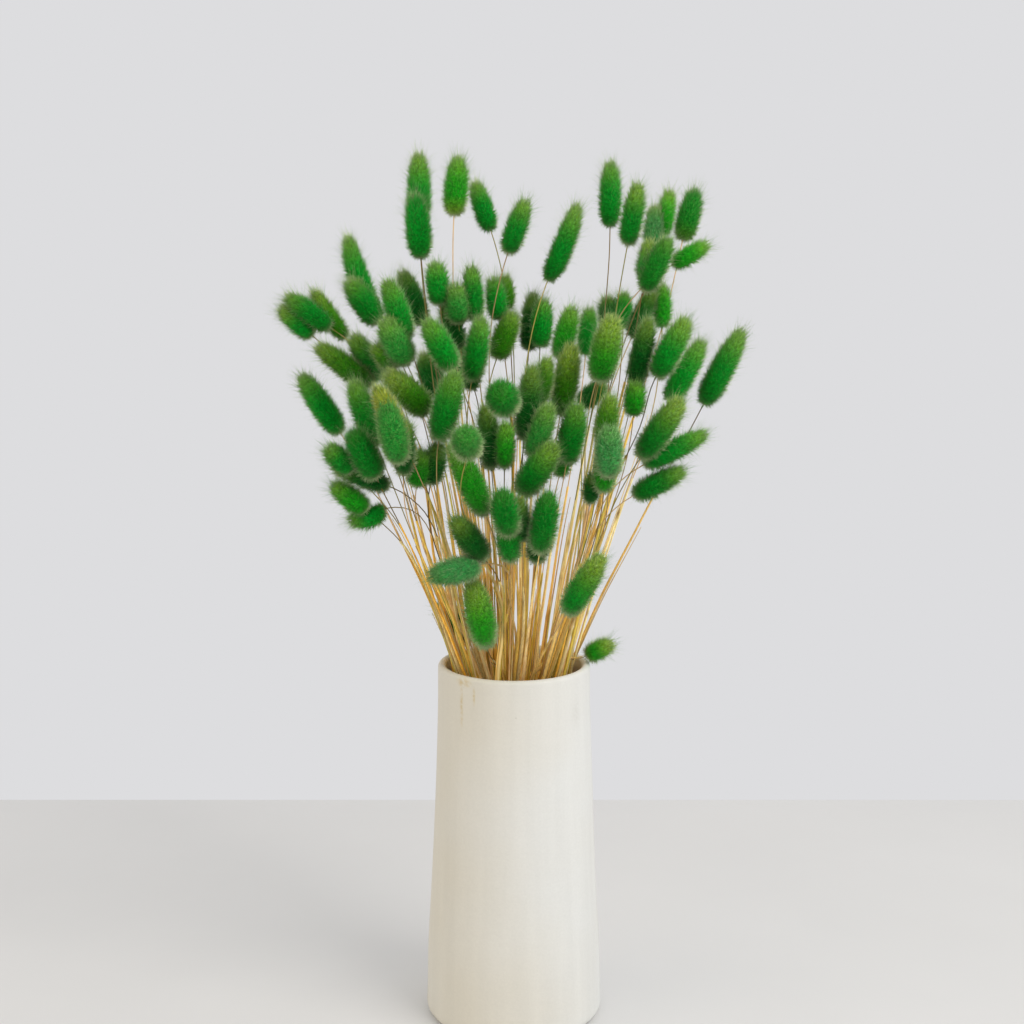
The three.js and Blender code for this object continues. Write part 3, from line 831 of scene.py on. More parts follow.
@dataclass
class Wiring:
    """Adds and joins the nodes of one tree.

    Attributes:
        tree: The tree.
    """

    tree: bpy.types.NodeTree

    def add(self, kind: str, inputs: dict[str, Any] | list[Any] = (), **settings: Any) -> bpy.types.Node:
        """Adds a node.

        Args:
            kind: The node's type.
            inputs: Values, nodes or sockets to feed in, by the input's name or in order.
            settings: The node's own properties.

        Returns:
            The node.
        """
        node = self.tree.nodes.new(kind)
        for name, value in settings.items():
            setattr(node, name, value)
        usable = [socket for socket in node.inputs if socket.enabled]
        pairs = inputs.items() if isinstance(inputs, dict) else enumerate(inputs)
        for key, value in pairs:
            named = (each for each in usable if each.name == key)
            self.feed(usable[key] if isinstance(key, int) else next(named), value)
        return node

    def feed(self, socket: bpy.types.NodeSocket, value: Any) -> None:
        """Links a node or socket to an input, or sets a plain value there.

        Args:
            socket: The input.
            value: The node, socket or plain value.
        """
        if isinstance(value, bpy.types.Node):
            value = next(each for each in value.outputs if each.enabled)
        if isinstance(value, bpy.types.NodeSocket):
            self.tree.links.new(value, socket)
        else:
            socket.default_value = value

    def math(self, operation: str, *values: Any) -> bpy.types.Node:
        """Adds a sum on numbers."""
        return self.add("ShaderNodeMath", list(values), operation=operation)

    def vector_math(self, operation: str, *values: Any) -> bpy.types.Node:
        """Adds a sum on vectors."""
        return self.add("ShaderNodeVectorMath", list(values), operation=operation)

    def between(
        self, value: Any, old: tuple[Any, Any], new: tuple[Any, Any], ease: bool = False
    ) -> bpy.types.Node:
        """Moves a number from one range to another.

        Args:
            value: The number.
            old: The range that it comes from.
            new: The range that it goes to.
            ease: Whether it starts and ends softly.

        Returns:
            The node.
        """
        kind = "SMOOTHSTEP" if ease else "LINEAR"
        return self.add("ShaderNodeMapRange", [value, *old, *new], interpolation_type=kind)

    def mixed(self, share: Any, first: Any, second: Any, blend: str = "MIX") -> bpy.types.NodeSocket:
        """Mixes two colours.

        Args:
            share: How much of the second is taken.
            first: The colour below.
            second: The colour on top.
            blend: How the second lies on the first.

        Returns:
            The mixed colour's socket.
        """
        node = self.add("ShaderNodeMix", [share, first, second], data_type="RGBA", blend_type=blend)
        return next(socket for socket in node.outputs if socket.enabled)

    def attribute(self, name: str) -> bpy.types.Node:
        """Reads a mesh attribute in a material."""
        return self.add("ShaderNodeAttribute", attribute_name=name)

    def named(self, name: str, kind: str = "FLOAT") -> bpy.types.Node:
        """Reads a mesh attribute in geometry nodes."""
        return self.add("GeometryNodeInputNamedAttribute", {"Name": name}, data_type=kind)

    def drawn(self, seed: Any, low: float, high: float) -> bpy.types.Node:
        """Draws a number for each element."""
        inputs = {"Min": low, "Max": high, "Seed": seed}
        return self.add("FunctionNodeRandomValue", inputs, data_type="FLOAT")

    def finished(self, geometry: Any, material: Any) -> bpy.types.Node:
        """Makes a growth real and smooth and gives it its material.

        Args:
            geometry: The growth.
            material: The material.

        Returns:
            The node.
        """
        smooth = self.add("GeometryNodeSetShadeSmooth", {"Geometry": geometry})
        real = self.add("GeometryNodeRealizeInstances", {"Geometry": smooth})
        return self.add("GeometryNodeSetMaterial", {"Geometry": real, "Material": material})

    def kept(
        self, geometry: Any, name: str, value: Any, kind: str = "FLOAT", domain: str = "POINT"
    ) -> bpy.types.Node:
        """Stores a value on a geometry under a name.

        Args:
            geometry: The geometry.
            name: The attribute's name.
            value: The value of each element.
            kind: The value's type.
            domain: What has a value each.

        Returns:
            The node.
        """
        inputs = {"Geometry": geometry, "Name": name, "Value": value}
        return self.add("GeometryNodeStoreNamedAttribute", inputs, data_type=kind, domain=domain)


@dataclass
class Group:
    """A node group with its ends.

    Attributes:
        wiring: The tools to fill it.
        start: Where its inputs come in.
        end: Where its outputs go out.
    """

    wiring: Wiring
    start: bpy.types.Node
    end: bpy.types.Node

    @classmethod
    def make(cls, name: str, kind: str, takes: dict[str, tuple[str, Any]], gives: dict[str, str]) -> "Group":
        """Makes an empty group with named sockets.

        Args:
            name: The group's name.
            kind: The type of its tree.
            takes: The type and the usual value of each input.
            gives: The type of each output.

        Returns:
            The group.
        """
        tree = bpy.data.node_groups.new(name, kind)
        for label, (socket_kind, usual) in takes.items():
            socket = tree.interface.new_socket(label, in_out="INPUT", socket_type=socket_kind)
            if usual is not None:
                socket.default_value = usual
        for label, socket_kind in gives.items():
            tree.interface.new_socket(label, in_out="OUTPUT", socket_type=socket_kind)
        wiring = Wiring(tree)
        return cls(wiring, wiring.add("NodeGroupInput"), wiring.add("NodeGroupOutput"))

    def take(self, label: str) -> bpy.types.NodeSocket:
        """Gives an input's value inside the group."""
        return self.start.outputs[label]

    def give(self, label: str, value: Any) -> None:
        """Sends a value out of the group."""
        self.wiring.feed(self.end.inputs[label], value)


def make_blotches() -> None:
    """Makes the uneven tone that the finishes share, as wide as high or drawn out along the height."""
    takes = {
        "Vector": ("NodeSocketVector", None),
        "Scale": ("NodeSocketFloat", 20.0),
        "Stretch": ("NodeSocketFloat", 1.0),
        "Detail": ("NodeSocketFloat", 3.0),
        "Low": ("NodeSocketFloat", 0.0),
        "High": ("NodeSocketFloat", 1.0),
    }
    group = Group.make("blotches", "ShaderNodeTree", takes, {"Value": "NodeSocketFloat"})
    wiring = group.wiring
    shape = wiring.add("ShaderNodeCombineXYZ", {"X": 1.0, "Y": 1.0, "Z": group.take("Stretch")})
    place = wiring.vector_math("MULTIPLY", group.take("Vector"), shape)
    inputs = {"Vector": place, "Scale": group.take("Scale"), "Detail": group.take("Detail")}
    noise = wiring.add("ShaderNodeTexNoise", inputs)
    ends = group.take("Low"), group.take("High")
    group.give("Value", wiring.between(noise.outputs["Fac"], (0.3, 0.7), ends))


@dataclass(frozen=True)
class Uneven:
    """One use of the shared uneven tone.

    Attributes:
        scale: How fine it is.
        low: Its lowest value.
        high: Its highest value.
        stretch: How fine it is along the height, as a share of its fineness across.
        detail: How much finer detail it has.
    """

    scale: float
    low: float = 0.0
    high: float = 1.0
    stretch: float = 1.0
    detail: float = 3.0


@dataclass
class Finish:
    """A material being made: one glossy body and the tools to feed it.

    Attributes:
        name: The material's name.
        material: The material.
        wiring: The tools to fill it.
        body: Its shader.
        place: The surface's place in the object's own metres.
    """

    name: str
    material: bpy.types.Material = field(init=False)
    wiring: Wiring = field(init=False)
    body: bpy.types.Node = field(init=False)
    place: bpy.types.NodeSocket = field(init=False)

    def __post_init__(self) -> None:
        """Makes the material with its body and output."""
        self.material = bpy.data.materials.new(self.name)
        self.material.use_nodes = True
        self.material.node_tree.nodes.clear()
        self.wiring = Wiring(self.material.node_tree)
        self.body = self.wiring.add("ShaderNodeBsdfPrincipled")
        self.wiring.add("ShaderNodeOutputMaterial", {"Surface": self.body})
        self.place = self.wiring.add("ShaderNodeTexCoord").outputs["Object"]

    def set(self, label: str, value: Any) -> None:
        """Feeds or sets one of the body's inputs."""
        self.wiring.feed(self.body.inputs[label], value)

    def uneven(self, tone: Uneven) -> bpy.types.Node:
        """Adds the shared uneven tone.

        Args:
            tone: How it is used here.

        Returns:
            The node.
        """
        values = {name.title(): value for name, value in asdict(tone).items()}
        values["Vector"] = self.place
        return self.wiring.add("ShaderNodeGroup", values, node_tree=bpy.data.node_groups["blotches"])

    def toned(self, colour: Any, tone: Any) -> bpy.types.NodeSocket:
        """Darkens or lightens a colour by a tone."""
        return self.wiring.mixed(1.0, colour, tone, "MULTIPLY")

    def bump(self, height: Any, depth: float, strength: float) -> None:
        """Presses a height into the surface.

        Args:
            height: The height, from 0 to 1.
            depth: The full depth in metres.
            strength: How much of it shows.
        """
        inputs = {"Strength": strength, "Distance": depth, "Height": height}
        self.set("Normal", self.wiring.add("ShaderNodeBump", inputs))


# Finishes


@dataclass(frozen=True)
class Spot:
    """A soft mark on a surface, in mm.

    Attributes:
        centre: Its middle.
        size: Its half sizes.
    """

    centre: tuple[float, float, float]
    size: tuple[float, float, float]

    def mask(self, finish: Finish) -> bpy.types.Node:
        """Gives a mask that is 1 in the spot's middle and 0 outside it.

        Args:
            finish: The material that it is for.

        Returns:
            The mask.
        """
        wiring = finish.wiring
        apart = wiring.vector_math("SUBTRACT", finish.place, [each * MM for each in self.centre])
        scaled = wiring.vector_math("DIVIDE", apart, [each * MM for each in self.size])
        away = wiring.vector_math("LENGTH", scaled)
        return wiring.between(away.outputs["Value"], (0.0, 1.0), (1.0, 0.0), ease=True)


@dataclass(frozen=True)
class MatteGlaze:
    """The matte off-white glaze of the vase, with its warm clouds, faint runs, a small stain and painted
    shade.

    Attributes:
        cool: The glaze where it is whitest.
        warm: The glaze in its warm clouds and in the painted shade of its left side.
        bare: The warm brown painted shade inside the mouth.
        stain: The stain that ran down from the lip.
        mark: The speck and the scuff.
        painted_shade_side: Where the painted shade of the left side is fullest and where it ends, in metres.
        clouds: How far the warmth wanders.
        streaks: The fine upright streaks.
        grain: The fine grain.
        runs: Where the stain ran.
        ragged: How ragged its edges are.
        stain_share: How much of the stain shows.
        speck: A small dark fleck.
        speck_share: How much of it shows.
        scuff: A worn patch.
        wear: How unevenly that is worn.
        inner_skin: The radii between which the outside gives way to the inside, in metres.
        inner_depth: The heights between which the painted shade inside fades out towards the rim, in metres.
        dullness: How dull it is.
        gloss: How strongly it shines.
        waves: The soft relief of the throwing.
        pores: The fine relief of the glaze.
        pore_share: How deep that is beside the waves.
        relief: The depth of its uneven skin in metres.
        relief_share: How much of that shows.
    """

    cool: str = "e6e7e4"
    warm: str = "ded8c8"
    # Painted shade: warm brown inside the mouth, where little light reaches.
    bare: str = "a5926b"
    stain: str = "c8a63c"
    mark: str = "a39f90"
    # Painted shade: the glaze turns warm beige towards the left side, away from the key light.
    painted_shade_side: tuple[float, float] = (-0.045, 0.055)
    clouds: Uneven = Uneven(9, -0.25, 0.25, detail=2.0)
    streaks: Uneven = Uneven(90, 0.965, 1.02, stretch=0.06)
    grain: Uneven = Uneven(700, 0.98, 1.015, detail=4.0)
    runs: tuple[Spot, ...] = (
        Spot((-32.4, -36, 214), (1.5, 6, 19)),
        Spot((-31, -37, 229.5), (8, 9, 4.5)),
        Spot((-24.6, -42, 222), (1.3, 5, 8)),
    )
    ragged: Uneven = Uneven(500)
    stain_share: float = 0.65
    speck: Spot = Spot((1.1, -48.7, 210.4), (0.8, 3, 0.8))
    speck_share: float = 0.4
    scuff: Spot = Spot((38.5, -29.9, 207), (7, 7, 13))
    wear: Uneven = Uneven(420, 0.0, 0.16)
    inner_skin: tuple[float, float] = (0.0455, 0.0470)
    inner_depth: tuple[float, float] = (0.214, 0.231)
    dullness: Uneven = Uneven(60, 0.52, 0.68)
    gloss: float = 0.35
    waves: Uneven = Uneven(40, stretch=2.5)
    pores: Uneven = Uneven(260, detail=5.0)
    pore_share: float = 0.25
    relief: float = 0.0004
    relief_share: float = 0.35

    def fired(self, finish: Finish) -> bpy.types.NodeSocket:
        """Gives the glaze's colour, cool or warm, with a painted shade at left, fine streaks and grain.

        Args:
            finish: The material.

        Returns:
            The colour's socket.
        """
        wiring = finish.wiring
        across = wiring.add("ShaderNodeSeparateXYZ", [finish.place]).outputs["X"]
        # Painted shade: warm beige towards the left, the side turned from the key light; the clouds add to
        # it.
        shade_and_clouds = wiring.between(across, self.painted_shade_side, (1.0, 0.0), ease=True)
        inputs = [shade_and_clouds, finish.uneven(self.clouds)]
        shade_and_clouds = wiring.add("ShaderNodeMath", inputs, operation="ADD", use_clamp=True)
        colour = wiring.mixed(shade_and_clouds, linear(self.cool), linear(self.warm))
        colour = finish.toned(colour, finish.uneven(self.streaks))
        return finish.toned(colour, finish.uneven(self.grain))

    def marked(self, finish: Finish, colour: Any) -> bpy.types.NodeSocket:
        """Lays the stain, the speck and the scuff on the glaze.

        Args:
            finish: The material.
            colour: The glaze's colour.

        Returns:
            The colour's socket.
        """
        wiring = finish.wiring
        stained = 0.0
        for run in self.runs:
            stained = wiring.math("MAXIMUM", stained, run.mask(finish))
        stained = wiring.math("MULTIPLY", stained, finish.uneven(self.ragged))
        colour = wiring.mixed(wiring.math("MULTIPLY", stained, self.stain_share), colour, linear(self.stain))
        worn = wiring.math("MULTIPLY", self.scuff.mask(finish), finish.uneven(self.wear))
        flecked = wiring.math("MULTIPLY", self.speck.mask(finish), self.speck_share)
        return wiring.mixed(wiring.math("MAXIMUM", flecked, worn), colour, linear(self.mark))

    def material(self) -> bpy.types.Material:
        """Makes the glaze.

        Returns:
            The material.
        """
        finish = Finish("matte_glaze")
        wiring = finish.wiring
        colour = self.marked(finish, self.fired(finish))
        parts = wiring.add("ShaderNodeSeparateXYZ", [finish.place])
        flat = wiring.add("ShaderNodeCombineXYZ", {"X": parts.outputs["X"], "Y": parts.outputs["Y"]})
        out = wiring.vector_math("LENGTH", flat).outputs["Value"]
        # Painted shade: the inside of the mouth, below the rim, turns warm brown.
        inside = wiring.between(out, self.inner_skin, (1.0, 0.0), ease=True)
        deep = wiring.between(parts.outputs["Z"], self.inner_depth, (1.0, 0.0), ease=True)
        painted_inner_shade = wiring.math("MULTIPLY", inside, deep)
        finish.set("Base Color", wiring.mixed(painted_inner_shade, colour, linear(self.bare)))
        finish.set("Roughness", finish.uneven(self.dullness))
        finish.set("Specular IOR Level", self.gloss)
        pores = wiring.math("MULTIPLY", finish.uneven(self.pores), self.pore_share)
        height = wiring.math("ADD", pores, finish.uneven(self.waves))
        finish.bump(height, self.relief, self.relief_share)
        return finish.material


@dataclass(frozen=True)
class DriedStraw:
    """The dry straw: golden, tan or olive in its sheath, and bare thin necks of other tones above.

    Attributes:
        tones: The colours of the sheathed straw, from gold to olive.
        necks: The colours of the bare necks, from nearly black to pinkish tan.
        knot: The colour of the joints.
        fibres: The light and dark fibres along it.
        patch: The colour of its weathered patches.
        patches: How much of that shows.
        dullness: How dull it is.
        gloss: How strongly it shines.
        ridges: The relief of its fibres.
        relief: The depth of that in metres.
        relief_share: How much of that shows.
    """

    tones: tuple[str, ...] = ("ffd868", "f8be48", "fff0ae", "f0c68a", "f0d660", "bcc050")
    necks: tuple[str, ...] = ("45421f", "6f5d30", "9c9a42", "c8a578", "d9b57a")
    knot: str = "7d5a26"
    fibres: Uneven = Uneven(1400, 0.76, 1.24, stretch=0.03)
    patch: str = "cc9444"
    patches: Uneven = Uneven(55, 0.0, 0.22)
    dullness: Uneven = Uneven(300, 0.42, 0.62)
    gloss: float = 0.4
    ridges: Uneven = Uneven(2200, stretch=0.03)
    relief: float = 0.0002
    relief_share: float = 0.4

    def ramp(self, finish: Finish, codes: tuple[str, ...]) -> bpy.types.NodeSocket:
        """Picks one of several colours by each straw's own tone.

        Args:
            finish: The material.
            codes: The colours.

        Returns:
            The colour's socket.
        """
        ramp = finish.wiring.add("ShaderNodeValToRGB", [finish.wiring.attribute("tone").outputs["Fac"]])
        stops = ramp.color_ramp.elements
        for index, code in enumerate(codes):
            stop = stops[index] if index < 2 else stops.new(1.0)
            stop.position = index / (len(codes) - 1)
            stop.color = linear(code)
        return ramp.outputs["Color"]

    def material(self) -> bpy.types.Material:
        """Makes the straw.

        Returns:
            The material.
        """
        finish = Finish("dried_straw")
        wiring = finish.wiring
        bare = wiring.attribute("bare").outputs["Fac"]
        colour = wiring.mixed(bare, self.ramp(finish, self.tones), self.ramp(finish, self.necks))
        colour = finish.toned(colour, finish.uneven(self.fibres))
        colour = wiring.mixed(finish.uneven(self.patches), colour, linear(self.patch))
        colour = finish.toned(colour, wiring.attribute("light").outputs["Color"])
        colour = wiring.mixed(wiring.attribute("knot").outputs["Fac"], colour, linear(self.knot))
        finish.set("Base Color", colour)
        finish.set("Roughness", finish.uneven(self.dullness))
        finish.set("Specular IOR Level", self.gloss)
        finish.bump(finish.uneven(self.ridges), self.relief, self.relief_share)
        return finish.material


@dataclass(frozen=True)
class DyedFur:
    """The dyed hair of the seed heads, dark at its roots, partly as painted shade, and pale at its tips.

    Attributes:
        awn: The long sparse bristles.
        awn_from: The height on the bake map from which the bristles begin.
        rise: The heights on the bake map where a soft hair starts and ends.
        hair_scale: How quickly the tone changes from hair to hair along the bake map.
        hair_noise: The noise of the darkest and the lightest hair.
        hair_tones: Their tones.
        curl_scale: How fine the curls of the coat are.
        curl_noise: The noise of the darkest and the lightest curl.
        curl_tones: Their tones.
        roughness: How dull the hairs are, at their roots and at their tips.
        gloss: How strongly they shine.
        glow: The light that the soft hairs catch around a head's rim.
        glow_spread: How far in from the rim it reaches.
    """

    awn: str = "5c9648"
    awn_from: float = 0.78
    rise: tuple[float, float] = (0.08, 0.74)
    hair_scale: float = 420.0
    hair_noise: tuple[float, float] = (0.25, 0.75)
    hair_tones: tuple[float, float] = (0.42, 1.55)
    curl_scale: float = 640.0
    curl_noise: tuple[float, float] = (0.32, 0.68)
    curl_tones: tuple[float, float] = (0.62, 1.34)
    roughness: tuple[float, float] = (0.85, 0.65)
    gloss: float = 0.12
    glow: str = "e6f2bc"
    glow_spread: float = 0.36

    def material(self) -> bpy.types.Material:
        """Makes the fur.

        Returns:
            The material.
        """
        finish = Finish("dyed_fur")
        wiring = finish.wiring
        hair = wiring.add("ShaderNodeUVMap", uv_map=BAKE_MAP)
        parts = wiring.add("ShaderNodeSeparateXYZ", [hair])
        across, up = parts.outputs["X"], parts.outputs["Y"]
        # Painted shade: roots and the core below them are darker than the tips, as shade deep in the coat.
        root = wiring.attribute("root_colour").outputs["Color"]
        tip = wiring.attribute("tip_colour").outputs["Color"]
        colour = wiring.mixed(wiring.between(up, self.rise, (0.0, 1.0)), root, tip)
        inputs = {"W": across, "Scale": self.hair_scale, "Detail": 1.0}
        single = wiring.add("ShaderNodeTexNoise", inputs, noise_dimensions="1D").outputs["Fac"]
        colour = finish.toned(colour, wiring.between(single, self.hair_noise, self.hair_tones))
        inputs = {"Vector": finish.place, "Scale": self.curl_scale, "Detail": 1.0}
        curls = wiring.add("ShaderNodeTexNoise", inputs).outputs["Fac"]
        colour = finish.toned(colour, wiring.between(curls, self.curl_noise, self.curl_tones))
        bristle = wiring.math("GREATER_THAN", up, self.awn_from)
        finish.set("Base Color", wiring.mixed(bristle, colour, linear(self.awn)))
        finish.set("Roughness", wiring.between(up, (0.0, 1.0), self.roughness))
        finish.set("Specular IOR Level", self.gloss)
        finish.set("Sheen Weight", 1.0)
        finish.set("Sheen Roughness", self.glow_spread)
        finish.set("Sheen Tint", linear(self.glow))
        return finish.material


@dataclass(frozen=True)
class PaleTable:
    """The plain pale top that the vase stands on.

    Attributes:
        colour: Its colour.
        tone: How that varies.
        dullness: How dull it is.
    """

    colour: str = "dededd"
    tone: Uneven = Uneven(6, 0.985, 1.01)
    dullness: Uneven = Uneven(30, 0.55, 0.65)

    def material(self) -> bpy.types.Material:
        """Makes the table's finish.

        Returns:
            The material.
        """
        finish = Finish("pale_table")
        finish.set("Base Color", finish.toned(linear(self.colour), finish.uneven(self.tone)))
        finish.set("Roughness", finish.uneven(self.dullness))
        return finish.material


# Vase


@dataclass
class Vase:
    """The thrown vase, in mm: a tall slightly waisted cone with a rounded foot and lip.

    Attributes:
        outline: Height and outer radius, read up the side.
        height: Its full height.
        neck_radius: Its outer radius at the rim.
        base_radius: Its outer radius at the foot.
        wall: How thick its wall is.
        floor: How thick its floor is.
        foot_rounding: The radius of the foot's rounding.
        inner_foot_radius: The inside's radius just above the floor.
        sides: How many sides its rounds are drawn with.
        pace: How far apart the rings of its side stand at most.
        foot_steps: How many pieces the foot's rounding has.
        lip_steps: How many the lip's has.
        well_steps: How many the one inside above the floor has.
        wander: How far the thrower's hand strays from a true round.
        oval_pace: How far up the oval that it strays to turns by one radian.
        lobe_pace: How far up the three lobes do.
        lobe_share: How strong the lobes are beside the oval.
        foot_ease: The heights between which the straying sets in.
        rim_ease: How far below the top it has died out, and where it starts to.
    """

    outline: tuple[tuple[float, float], ...] = (
        (14, 56.7), (45, 55.7), (76, 53.8), (107, 52.2), (148, 50.6), (188, 49.3), (218, 48.5),
    )
    height: float = 233.0
    neck_radius: float = 48.3
    base_radius: float = 57.0
    wall: float = 5.0
    floor: float = 8.0
    foot_rounding: float = 6.0
    inner_foot_radius: float = 50.0
    sides: int = 128
    pace: float = 7.0
    foot_steps: int = 7
    lip_steps: int = 12
    well_steps: int = 5
    wander: float = 0.22
    oval_pace: float = 47.0
    lobe_pace: float = 29.0
    lobe_share: float = 0.6
    foot_ease: tuple[float, float] = (6.0, 40.0)
    rim_ease: tuple[float, float] = (-1.0, 30.0)

    def arc(
        self, middle: tuple[float, float], radius: float, start: float, end: float, steps: int
    ) -> np.ndarray:
        """Rounds the outline about a middle (radius, height), from one angle to another.

        Args:
            middle: The rounding's middle.
            radius: Its radius.
            start: The first angle in quarter turns.
            end: The last angle in quarter turns.
            steps: How many pieces it has.

        Returns:
            The points.
        """
        angles = np.linspace(start, end, steps + 1) * math.pi / 2
        return np.stack([np.cos(angles), np.sin(angles)], 1) * radius + middle

    def profile(self) -> np.ndarray:
        """Draws the outline from the edge of the base, up the outside and down to the inner floor.

        Returns:
            Radius and height, one row each.
        """
        lip = self.wall / 2
        side = np.array([(radius, height) for height, radius in self.outline], float)
        ends = (self.base_radius, self.foot_rounding), (self.neck_radius, self.height - lip)
        side = smooth_through(np.vstack([ends[0], side, ends[1]]), self.pace)
        inner = side[::-1] - (self.wall, 0)
        inner = inner[inner[:, 1] > self.floor + self.wall * 2]
        rounding = self.foot_rounding
        foot = self.arc((self.base_radius - rounding, rounding), rounding, -1, 0, self.foot_steps)
        top = self.arc((self.neck_radius - lip, self.height - lip), lip, 0, 2, self.lip_steps)
        corner = self.inner_foot_radius - self.wall, self.floor + self.wall
        well = self.arc(corner, self.wall, 0, -1, self.well_steps)
        return np.vstack([foot, side[1:-1], top, inner[1:], well])

    def build(self) -> None:
        """Turns the outline into the vase and dresses it."""
        profile = self.profile()
        angles = np.arange(self.sides) / self.sides * TURN
        radius, height = profile[:, :1], profile[:, 1:]
        oval = np.sin(2 * angles + height / self.oval_pace)
        stray = oval + self.lobe_share * np.sin(3 * angles - height / self.lobe_pace + 1)
        stray = self.wander * stray * eased(height, *self.foot_ease)
        reach = radius + stray * eased(self.height - height, *self.rim_ease)
        rings = np.stack([reach * np.cos(angles), reach * np.sin(angles), height + 0 * angles], -1)
        vertices = np.vstack([rings.reshape(-1, 3), [(0, 0, 0), (0, 0, self.floor)]])
        faces = ring_faces(len(profile), self.sides)
        base, well = len(vertices) - 2, len(vertices) - 1
        faces += cap_faces(self.sides, 0, base, (len(profile) - 1) * self.sides, well)
        piece = new_mesh_object("thrown_vase", vertices, [], faces)
        piece.data.materials.append(MatteGlaze().material())
        piece.data.shade_smooth()
        hand_over(piece, ["vase"], "vase")


# Stalks


@dataclass(frozen=True)
class Strip:
    """One kind of thin strip that lies along a stalk.

    Attributes:
        girth: Half its width, in mm.
        girths: The narrowest and the widest, as a share of that.
        taper: How much of its girth it loses up to its end.
        bluntness: How late it loses that.
        tones: The range of its tones.
        lights: The range of its lightness.
        flat: 1 for a flat one, 0 for a round one.
    """

    girth: float
    girths: tuple[float, float]
    taper: float
    bluntness: int
    tones: tuple[float, float]
    lights: tuple[float, float]
    flat: float

    def values(self, rise: np.ndarray, draw: np.random.Generator) -> dict[str, Any]:
        """Draws one strip's values by name.

        Args:
            rise: How far up the strip each of its points lies, from 0 to 1.
            draw: The random draw.

        Returns:
            The values.
        """
        girth = self.girth * draw.uniform(*self.girths) * (1 - self.taper * rise ** self.bluntness)
        tone, light = draw.uniform(*self.tones), draw.uniform(*self.lights)
        return {"girth": girth, "tone": tone, "light": light, "flat": self.flat}


